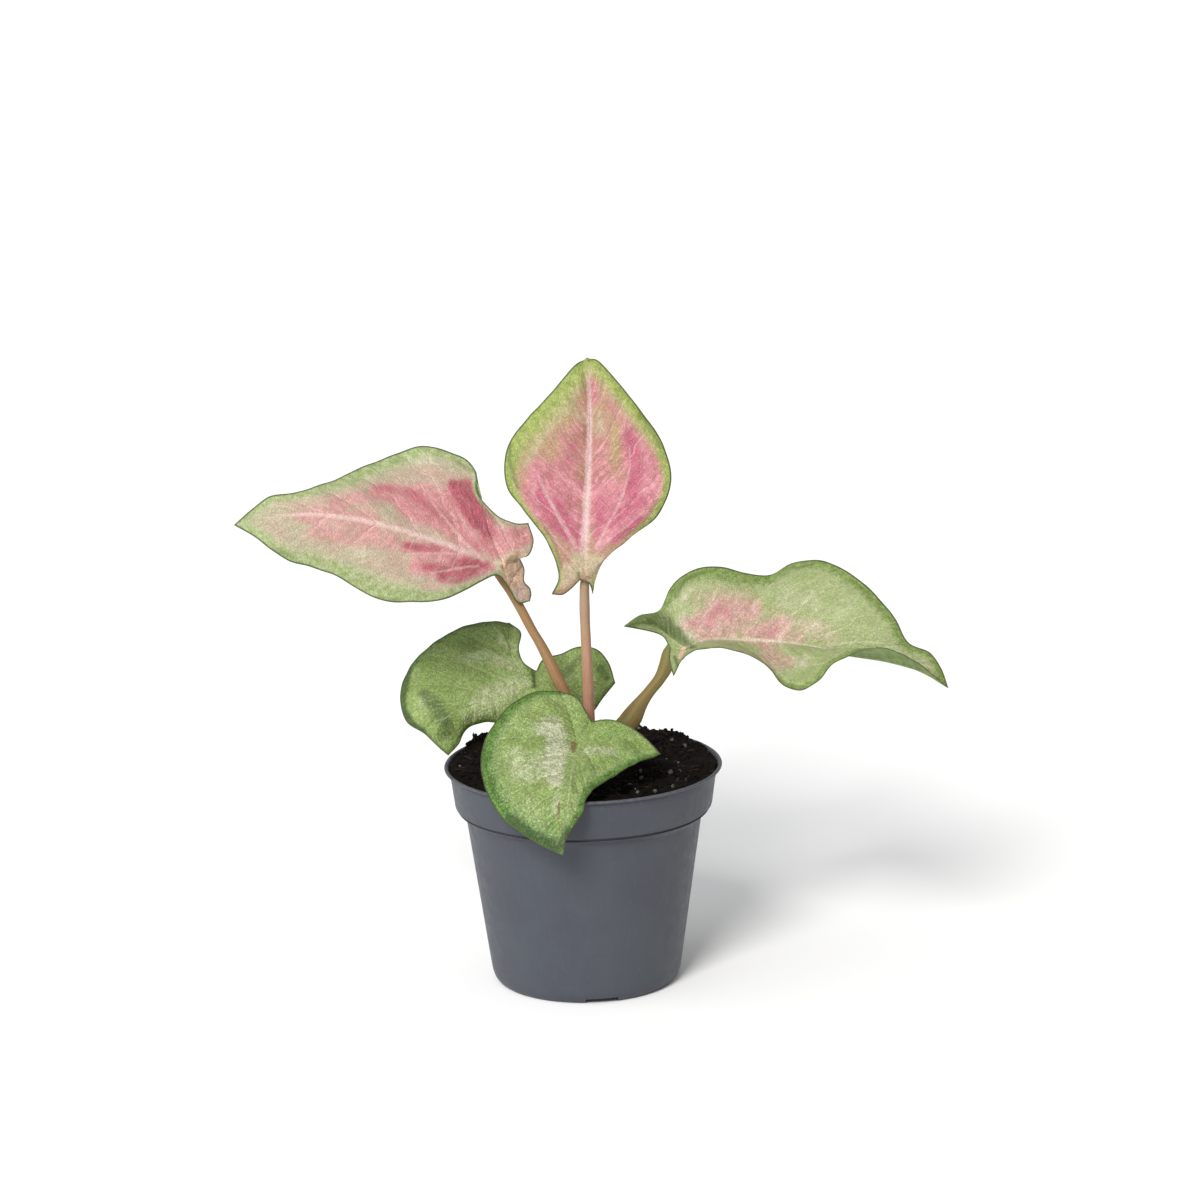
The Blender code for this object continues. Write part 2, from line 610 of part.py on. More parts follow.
def make_tuber(group):
    tuber = tuber_shape("tuber", 0.0, group)
    tuber.hide_render = False
    tuber.display_type = "TEXTURED"
    tuber.data.materials.append(material("tuber"))
    for face in tuber.data.polygons:
        face.use_smooth = True
    return tuber


def build():
    clear_scene()
    group = new_collection("potted_caladium")
    cutters = new_collection("cutters")
    make_pot(group, cutters)
    make_soil(group, cutters)
    make_tuber(group)
    pale = material("stalk_pale")
    olive = material("stalk_olive")
    for name, stalk in STALKS.items():
        make_stalk("petiole_" + name, stalk, group, olive if name == "right" else pale)
    for name, leaf in LEAVES.items():
        make_leaf("leaf_" + name, leaf, group, material("leaf_" + name))


build()
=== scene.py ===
"""Potted caladium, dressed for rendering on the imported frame.

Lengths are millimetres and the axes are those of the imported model: +Z up, the
origin on the pot's axis at ground level, the photographed front facing -Y.
"""
import math

import bmesh
import bpy
import numpy as np
from mathutils import Matrix, Vector


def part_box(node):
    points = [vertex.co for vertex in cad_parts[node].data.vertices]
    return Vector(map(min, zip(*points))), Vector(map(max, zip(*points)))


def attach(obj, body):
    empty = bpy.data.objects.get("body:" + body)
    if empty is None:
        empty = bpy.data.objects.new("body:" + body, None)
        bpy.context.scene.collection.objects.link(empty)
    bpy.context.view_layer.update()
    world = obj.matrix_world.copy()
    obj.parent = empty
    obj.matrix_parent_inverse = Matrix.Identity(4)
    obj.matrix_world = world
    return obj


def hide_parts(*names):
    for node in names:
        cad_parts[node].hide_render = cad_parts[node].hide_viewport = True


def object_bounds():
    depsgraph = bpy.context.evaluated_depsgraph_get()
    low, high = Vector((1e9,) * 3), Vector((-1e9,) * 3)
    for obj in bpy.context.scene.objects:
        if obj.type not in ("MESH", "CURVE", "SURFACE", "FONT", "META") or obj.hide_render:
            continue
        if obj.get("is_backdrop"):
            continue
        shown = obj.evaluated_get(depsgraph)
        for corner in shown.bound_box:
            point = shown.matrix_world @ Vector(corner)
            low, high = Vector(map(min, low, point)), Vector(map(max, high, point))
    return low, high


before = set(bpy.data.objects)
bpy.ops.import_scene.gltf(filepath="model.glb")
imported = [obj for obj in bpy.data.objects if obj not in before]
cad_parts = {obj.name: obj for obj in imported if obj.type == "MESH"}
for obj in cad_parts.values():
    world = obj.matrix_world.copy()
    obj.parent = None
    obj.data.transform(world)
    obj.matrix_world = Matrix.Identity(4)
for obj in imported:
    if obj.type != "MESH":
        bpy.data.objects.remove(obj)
cad_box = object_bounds()

MM = 0.001
BODY = "root"

# Camera and studio. A sun has the place it shines from, its angle, strength and colour.
CAMERA_PITCH = 13.85
CAMERA_ROLL = -0.98
CAMERA_DISTANCE = 1800.0
CAMERA_AIM = (8.5, 0.0, 168.2)
CAMERA_LENS = 126.36
CAMERA_SENSOR = 36.0
FLOOR_METRES = 9.0
FLOOR_TONES = ([0.89, 0.89, 0.89, 1.0], [0.92, 0.92, 0.92, 1.0])
WORLD_LIGHT = 0.49
SUNS = {
    "key": ((-0.44, -1.2, 1.0), 22.0, 3.25, (1.0, 0.985, 0.96)),
    "fill": ((-1.0, -0.35, 0.45), 60.0, 1.0, (0.88, 0.93, 1.0)),
}
LIT = 0.71

# Leaf blades: the mesh of a half, its side veins, and the relief of its faces
BLADE = 0.5
LOBE_RIBS = 30
FLANK_RIBS = 104
COLUMNS = 46
SWEEP = 0.5
LINE_STEPS = 24
SIDES = {"left": 1, "right": -1}
FLANK_VEINS = 6.0
LOBE_VEINS = 3.0
VEIN_LEAN = 0.1
VEIN_BEND = 1.6
SPACING_LIMITS = (0.6, 30.0)
GROOVE_DEPTH = 0.22
GROOVE_UNDER = 0.18
GROOVE_WIDTH = 0.9
QUILT_HEIGHT = 0.45
QUILT_SPACING = 9.0
RIB_HEIGHT = 0.3
KEEL_HEIGHT = 0.9
KEEL_LOSS = 0.6
RIPPLE_HEIGHT = 0.2
RIPPLE_REACH = 5.5
RIPPLES = ((1.0, 47.0, 1.3), (0.6, 83.0, 0.4))
RIPPLE_APART = 0.7
SWELL_HEIGHT = 0.25
SWELL_WAVES = ((0.31, 1.1), (0.37, 0.6))
RIM_THICKNESS = 0.35
STROKE_SPREAD = 1.7
STROKE_CORE = 0.25
FAR = 3.0
PAINTS = ("pink", "deep", "cream", "green", "dark", "crease", "veins", "tan")
LEAF_RIM = (72, 84, 46)
# Brown of the dried creases; their strokes also paint the shade in the folds
CREASE_BROWN_SHADE = (128, 102, 62)
DRIED = ((212, 172, 138), (244, 208, 180))
PALE_FLECK = (214, 226, 164)

# Stalks: a few slow waves of their thickness, fine ridges, and the groove of the sheath
STALK_SIDES = 30
STALK_STATIONS = 150
STALK_TURN_DOWN = 99.0
STALK_SMOOTHING = 9
STALK_WAVES = ((0.02, 0.21), (0.012, 0.53))
STALK_RIDGES = ((0.025, 5), (0.015, 9))
STALK_TWIST = 0.01
SHEATH_ABOVE = 16.0
SHEATH_BELOW = 4.0
SHEATH_GROOVE = 0.13
SHEATH_WIDTH = 0.35
STALK_SEED = 21
STALK_COLOURS = {
    "top": ((180, 152, 124), (186, 144, 116), (182, 116, 102), (192, 158, 126)),
    "left": ((176, 134, 92), (152, 118, 78), (160, 106, 80), (172, 140, 98)),
    "right": ((106, 128, 56), (132, 112, 64), (88, 80, 36), (140, 124, 74)),
    "back": ((160, 150, 104), (166, 138, 102), (168, 128, 100), (184, 162, 122)),
    "front": ((150, 150, 96), (160, 146, 104), (164, 134, 104), (182, 166, 124)),
}

# Soil
SOIL_FRONT = 92.5
SOIL_RISE = 5.4
SOIL_RISE_FROM = -45.0
SOIL_RISE_TO = 35.0
SOIL_WAVE = 0.6
SOIL_WAVES = 6
SOIL_WAVE_NUMBER = 0.22
SOIL_SEED = 11
SOIL_EDGE = 95.4
SOIL_EDGE_FROM = 54.0
SOIL_EDGE_OVER = 3.5
SOIL_RINGS = 88
SOIL_SPOKES = 300
SOIL_JITTER = 0.25
SOIL_GRAIN = 0.14
SOIL_LUMPS = 520
SOIL_LUMP_REACH = 56.0
SOIL_LUMP_RADII = (0.9, 3.4)
SOIL_LUMP_HEIGHTS = (0.35, 0.85)
SOIL_SINK = 0.7
SOIL_MOUNDS = [(28, 45, 9, 1.4), (35, 40, 5, 1.8), (-46, 28, 8, 2.6), (50, 28, 9, -1.2)]
SOIL_GAP = 0.3
SOIL_WALL_STEP = 0.2
BIT_REACH = 55.0
BIT_CLEAR = 5.5
BIT_UNEVEN = (0.72, 1.2)
BIT_SQUASH = (0.75, 1.2)
BIT_TILT = 0.4
PERLITE_SEEN = [(25.5, -1), (25, -17), (37.5, -14), (30.5, -36), (20, -28), (44.5, 18), (33.5, 14)]
# How many bits, their radii, the share of it that they are lifted by, how finely they are
# cut, their stretch, and the places of the first ones
CRUMBS = (1100, (0.35, 1.3), 0.25, 1, (1.0, 1.0, 1.0), ())
PERLITE = (46, (0.4, 1.0), 0.35, 2, (1.0, 1.0, 1.0), PERLITE_SEEN)
FIBRES = (150, (0.6, 1.3), 0.4, 1, (3.2, 0.55, 0.4), ())

# Pot
POT_STEPS = 144
POT_EASING = 0.5
POT_SHARP = 40.0
FLOOR_TOP = 4.4
FLOOR_UNDER = 3.0
PAD_RADIUS = 4.0
FOOT_INNER = 34.5
FOOT_OUTER = 37.5
POT_OUTSIDE = [
    (59.6, 96.0), (60.0, 95.4), (59.7, 94.9), (57.6, 94.4), (57.6, 93.4), (57.3, 91.0),
    (57.0, 89.5), (55.6, 79.0), (55.4, 78.3), (54.0, 78.0), (53.9, 77.2), (54.6, 76.9),
    (51.3, 74.4), (50.9, 73.5), (41.7, 9.0), (41.1, 5.0), (40.2, 2.2), (38.9, 0.6),
    (FOOT_OUTER, 0.0),
]
POT_INSIDE = [
    (37.4, FLOOR_TOP), (39.2, 5.4), (40.0, 8.0), (49.5, 74.0), (49.9, 75.2),
    (53.6, 78.0), (54.2, 79.0), (55.7, 89.9), (56.3, 91.6), (57.8, 94.2), (58.5, 96.0),
]
# Heights of the painted shade lines under the lip bead and under the collar step
POT_SHADE_LINES = (77.6, 94.2)
NOTCH_COUNT = 4
NOTCH_TURN = -80.5
NOTCH_WIDTH = 14.0
NOTCH_HEIGHT = 2.3
DRAIN_RADIUS = 4.0
DRAIN_CIRCLE = 24.0
DRAIN_SIDES = 40

# A leaf is drawn in its own axes: along the midrib, across it to the left seen
# from above, and up from the blade. 'attach' is where the stalk meets it, and
# 'turn' gives the heading, pitch and roll of those axes in degrees. Each half
# has a lobe vein from the attachment to the tip of its basal lobe, an inner
# margin from the notch to that tip, an outer margin from the tip to the flank,
# and a flank margin that ends at the leaf's tip. 'crown' is how far the blade
# bulges between vein and margin at the lobe, the base, the middle and the tip.
LEAVES = {
    "top": {
        "attach": (2, 4, 178), "turn": (85, 74, 0),
        "midrib": [(10, 0.2, -1), (19.5, -0.1, -2), (45.5, -1.1, -4), (75.5, -1.4, -3), (89.5, -0.6, -2),
            (93.4, -0.1, -4), (93.9, 0.2, -9)],
        "left": {
            "crown": (0, 1, 3, 1), "vein": [(-2.5, 6.5, 1)],
            "inner": [(-2, 2, 0), (-5.5, 5.5, 0), (-8.2, 9.1, 1), (-8.1, 13.8, 3)],
            "outer": [(-1.6, 11, 2), (5.7, 12.2, 1.1), (16.9, 17.7, 1)],
            "flank": [(28.5, 26.7, 2), (37.8, 33.4, 2), (45.5, 34.7, 2), (57, 32.6, 1), (67.5, 25, -0.1),
                (78.9, 14.5, 0), (90.9, 4.3, -1)],
        },
        "right": {
            "crown": (0, 1, 3, 1), "vein": [(-1.5, -3.5, -2)],
            "inner": [(-2, 2, 0), (-3, -1.5, -1), (-7.8, -3.4, -4)],
            "outer": [(-0.2, -3.4, -2.9), (6.2, -6.7, -2), (13.1, -12.9, -2), (18.3, -21.4, -2.1)],
            "flank": [(23.7, -29.2, -1), (31.5, -34.5, 0), (40.5, -37, 0), (56, -33.5, -1), (73, -22, -1),
                (86.4, -11, -1), (92.5, -5, -2)],
        },
    },
    "left": {
        "attach": (-32.5, -4, 184.5), "turn": (191, 12, -45),
        "midrib": [(5, -1, 1), (20.5, -2.8, 4), (35.5, -5, 6), (51.5, -6.3, 8), (71, -7.6, 8), (90, -7, 6),
            (116.6, -1, 0)],
        "left": {
            "crown": (0, 0, -2, 0), "vein": [(-4, 1, -5), (-9.5, 3.5, -11)],
            "inner": [(-7.5, -6.5, -1), (-11, -4, -6), (-11.6, -0.1, -8.7), (-15.2, 1.4, -11.8),
                (-16.2, 3, -14.1), (-16, 5, -16)],
            "outer": [(-11, 7.5, -15), (-4.5, 5, -8), (2.3, 3.7, -1.8)],
            "flank": [(7.9, 8.3, 0.7), (14.9, 14.8, 2.7), (22.3, 21.2, 4.9), (30.2, 26.3, 6.3),
                (41.6, 28.6, 6.5), (52.5, 29.4, 5.3), (62.3, 25.2, 4.3), (73.2, 19.2, 3.5), (83.1, 16, 2.7),
                (92.7, 14.7, 2.5), (101, 9.5, 2), (109.1, 3.2, 0.8)],
        },
        "right": {
            "crown": (0, 1, 2, 0), "vein": [(-4, -8.5, 4)],
            "inner": [(-7.5, -6.5, -1), (-10.5, -6.5, 1.2), (-12.5, -12, 3), (-10, -21.5, 4)],
            "outer": [(-3.4, -19.3, 5.5), (3.2, -20.5, 6.4), (8.8, -24.7, 7.2), (13.5, -30.5, 8)],
            "flank": [(14.9, -40.7, 9.3), (19, -46, 9), (27, -48.6, 8.7), (37.3, -49.9, 8.8),
                (49.8, -44.4, 6.8), (62.5, -36.2, 7), (78.8, -23.9, 8.3), (92.7, -16.4, 8.2),
                (103.2, -13.7, 6.1), (110.3, -7.7, 3.1)],
        },
    },
    "right": {
        "attach": (46, -2, 146), "turn": (-15, 0, 50),
        "midrib": [(4.5, 3.5, 0), (20, 5, 1), (35.5, 4.5, 3), (55.5, 2, 4), (69.5, -1, 5), (89, -3.5, 5),
            (101.5, -5, 1), (113, -9, -6)],
        "left": {
            "crown": (1, 2, 3, 1), "vein": [(-8.5, 6.5, -3), (-18, 13.5, -5)],
            "inner": [(-9.5, 2.5, -4), (-13.3, 8, -5.1), (-22.5, 11.5, -7), (-32.7, 13.9, -9)],
            "outer": [(-25.6, 18.1, -5.9), (-15.2, 19.2, -0.8), (-13.5, 22.5, 1), (-11.5, 27.3, 2.8),
                (-7.6, 32.6, 4.1)],
            "flank": [(-0.6, 36.3, 5.2), (9, 38.3, 4.1), (19.4, 37.7, 0.9), (30, 38.7, -2.9),
                (38, 43.8, -1.4), (48.1, 44.7, 1.6), (59.2, 41.4, 4.7), (69.6, 34.8, 6.8), (79.6, 26.3, 7.8),
                (89.5, 15.2, 8), (95.9, 5.6, 6.1), (104.5, 3.5, 2), (109.6, -2.1, 0)],
        },
        "right": {
            "crown": (0, 0, 0, 0), "vein": [(-3.5, -6.5, 2)],
            "inner": [(-9.5, 2.5, -4), (-7.5, -6, 0), (-3.6, -14.8, 5.1)],
            "outer": [(-0.8, -10.4, 8.1), (4.5, -7.5, 13)],
            "flank": [(11, -8.5, 20), (26.6, -10.6, 24.2), (33.8, -11.9, 21.9), (40, -15, 19),
                (49.7, -23.5, 17.8), (56.1, -24.9, 18.8), (62.3, -21.8, 21.1), (68.5, -15.1, 24.3),
                (76.5, -11.7, 27.5), (82.5, -9.5, 30), (90.5, -8, 28), (98, -6.5, 19), (104.5, -7, 9)],
        },
    },
    "back": {
        "attach": (-19.5, 18, 126.5), "turn": (200, -20, -45),
        "midrib": [(12, -2.3, 0.2), (25.7, -4.4, -0.1), (39.3, -5.7, -1.7), (47.5, -3.5, -5),
            (47.2, 6.4, -12.4)],
        "left": {
            "crown": (0, 1, 2, 0), "vein": [(-12, 0.5, -3), (-23, 5.5, -6)],
            "inner": [(-3, -6, 0), (-7.2, -9.4, -0.4), (-17.5, -9.5, -3), (-26.3, -9.2, -4.3),
                (-32.6, -4.7, -5.3), (-34.1, 2, -6.2), (-32.2, 12.3, -7.9)],
            "outer": [(-24, 15.5, -10), (-16.5, 19, -11), (-8.3, 18.9, -11.1)],
            "flank": [(4.2, 15.2, -9.3), (17.2, 8.5, -7.6), (24.9, 3.4, -6.7), (34.4, 0.4, -8.7),
                (41.5, 4.7, -10.6)],
        },
        "right": {
            "crown": (1, 2, 3, 0), "vein": [(3, -7.5, 2), (3.5, -17.5, 4)],
            "inner": [(-3, -6, 0), (0.5, -9.5, 3), (0, -16, 5), (-5, -24, 5), (-2.7, -30.1, 5.1)],
            "outer": [(1.8, -33.5, 4.3), (8.1, -37.4, 2.7)],
            "flank": [(16.4, -39.8, 1.3), (28.7, -39.4, 0.4), (40.9, -36.4, -1.6), (50.4, -30.1, -4.1),
                (54.7, -23.6, -4.9), (56.4, -14.6, -7.8), (51.9, -5.8, -8.9), (49.4, 1.7, -10.7)],
        },
    },
    "front": {
        "attach": (-2.5, -29, 113), "turn": (263, -37, 0),
        "midrib": [(15, 0.5, 5), (34.5, 1, 9.5), (47, 0, 6), (58.5, -0.5, 0)],
        "left": {
            "crown": (0, 1, 1, 0), "vein": [(-4, 11.5, -0.5), (-2, 24, -2)],
            "inner": [(-12, 5.5, -0.5), (-13, 12.5, 0), (-11.5, 18.5, 0), (-5, 29, -2.5), (3, 36, -3)],
            "outer": [(11.5, 26, 1.5), (21, 17, 4)],
            "flank": [(30, 10, 7), (36, 7.5, 7.5), (40.5, 7, 6.5), (45.5, 4.5, 5.5), (51.5, 1, 3.5)],
        },
        "right": {
            "crown": (1, 2, 2, 0), "vein": [(-13.5, -3.5, -1.5)],
            "inner": [(-12, 5.5, -0.5), (-16, 3, 1), (-23.5, -2, 1.5), (-25, -9, 3.5)],
            "outer": [(-23, -19, 5.5), (-15.5, -28.5, 6.5), (-5.5, -35, 6)],
            "flank": [(5, -39, 4.5), (15.5, -39, 4), (29.5, -35, 3.5), (43, -26, 2), (49.5, -17.5, 1),
                (55, -8.5, 0.5)],
        },
    },
}

# A stalk runs from its blade down to the tuber: 'line' holds the centre line
# above the soil with its radius at each point, and 'foot' is where it goes
# straight down through the soil.
STALKS = {
    "top": {
        "line": [(2.3, 6.4, 179, 1), (2, 7.7, 174, 2), (1.8, 8.6, 162, 2.2), (2.1, 8.2, 148.5, 2.2),
            (2.4, 7, 138, 2.3), (2.7, 6, 127, 2.5), (2.9, 5, 112, 2.5)],
        "foot": (3, 4.5),
    },
    "left": {
        "line": [(-35.3, -3.9, 184.3, 1), (-35.3, -1.6, 181.9, 1.7), (-33.4, 2.6, 177.6, 1.9),
            (-29.4, 5.5, 170.6, 1.9), (-25.7, 6.3, 163.6, 2), (-20.9, 4, 154.5, 2), (-16.9, 1, 148, 2.1),
            (-12.4, -2, 139, 2.5), (-6, -3.3, 124, 2.6), (-2.5, -3.5, 110, 2.7)],
        "foot": (-1, -3.5),
    },
    "right": {
        "line": [(45.4, -0.6, 145.4, 1), (44.2, 1.9, 145.6, 1.3), (42.2, 4.8, 146.1, 1.6),
            (39.8, 6.9, 146, 1.9), (38, 6.6, 143.2, 2.7), (36.5, 4.4, 137.6, 3.2), (33.1, 1.9, 131.8, 2.5),
            (29.3, 0.6, 127.4, 2.4), (25.1, -0.3, 122, 3.1), (21.2, -0.8, 115.9, 4.6),
            (15, -0.8, 107.5, 4.3)],
        "foot": (9.5, -0.5),
    },
    "back": {
        "line": [(-19.5, 19.2, 125.4, 1), (-19.2, 22.2, 122.3, 1.7), (-17.3, 24, 117, 1.8),
            (-14.3, 23.3, 110.5, 1.9), (-11, 19, 105, 2), (-8.4, 13.8, 101, 2.1)],
        "foot": (-7, 10.5),
    },
    "front": {
        "line": [(-2.4, -28.2, 112, 1), (-1.9, -26, 109.7, 1.7), (0.5, -22, 107.3, 1.8), (3, -16, 105.5, 2),
            (4.3, -11.5, 103.3, 2.1)],
        "foot": (4.5, -9.5),
    },
}

# 'pebble' is how coarsely a leaf is mottled. 'rib' holds the half widths of its
# midrib at the base and the tip, and 'ridge' how pale the midrib is. 'left' and
# 'right' give the width of the green margin at even steps from the lobe's tip to
# the leaf's tip. The rest are its colours, 'under' for the lower face.
LEAF_LOOKS = {
    "top": {
        "pebble": 0.35, "rib": (2, 1.1), "ridge": 0.95,
        "left": (1.2, 1.2, 1.5, 1.8, 4.5, 7.5, 8.5, 8, 7.5, 7),
        "right": (1, 1.2, 1.8, 2.5, 2.9, 3.4, 4.6, 5, 5, 5), "base": (186, 142, 112),
        "other": (190, 140, 120), "margin": (168, 184, 92), "margin_other": (144, 164, 70),
        "rose": ((200, 112, 130), (220, 152, 158)), "red": ((164, 48, 84), (206, 108, 134)),
        "cream": (200, 186, 152), "vein": (238, 204, 202), "under": (168, 172, 128),
    },
    "left": {
        "pebble": 0.4, "rib": (1.6, 0.4), "ridge": 0.85, "left": (1, 1, 1.2, 3, 7, 10, 8, 6, 4.5, 4),
        "right": (1, 1, 1.5, 4.5, 6, 6.5, 6.5, 4, 3, 3), "base": (200, 186, 158), "other": (206, 176, 156),
        "margin": (188, 200, 148), "margin_other": (162, 182, 112),
        "rose": ((214, 134, 138), (228, 164, 164)), "red": ((148, 42, 66), (200, 98, 116)),
        "cream": (214, 212, 184), "vein": (240, 208, 200), "under": (160, 168, 122),
    },
    "right": {
        "pebble": 0.55, "rib": (1, 0.35), "ridge": 0.8, "left": (3, 5, 6.5, 7, 6, 5, 5, 5, 4, 3),
        "right": (2, 2, 2, 2.5, 3, 4, 4, 3.5, 2.5, 2), "base": (172, 182, 128), "other": (162, 176, 114),
        "margin": (138, 162, 82), "margin_other": (116, 142, 64), "rose": ((206, 148, 146), (216, 178, 166)),
        "red": ((188, 106, 118), (208, 140, 144)), "cream": (218, 206, 182), "vein": (218, 214, 184),
        "under": (140, 164, 90),
    },
    "back": {
        "pebble": 0.8, "rib": (0.9, 0.3), "ridge": 0.15, "left": (1.5, 2, 2, 2, 2, 2, 2, 2, 2, 2),
        "right": (1.5, 2, 2, 2.5, 2.5, 2.5, 2.5, 2.5, 2, 2), "base": (154, 176, 100), "other": (136, 162, 80),
        "margin": (118, 152, 62), "margin_other": (94, 128, 44), "cream": (196, 200, 156),
        "vein": (182, 192, 140), "under": (160, 182, 114),
    },
    "front": {
        "pebble": 1, "rib": (1, 0.35), "ridge": 0.3, "left": (1.5, 2.5, 3, 3.5, 3.5, 3.5, 3, 3, 3, 3),
        "right": (2.5, 3.5, 4.5, 5.5, 6, 6.5, 6.5, 6, 5, 4), "base": (152, 176, 100), "other": (132, 160, 76),
        "margin": (98, 142, 42), "margin_other": (74, 120, 28), "cream": (212, 212, 182),
        "vein": (200, 206, 160), "under": (134, 152, 96),
    },
}

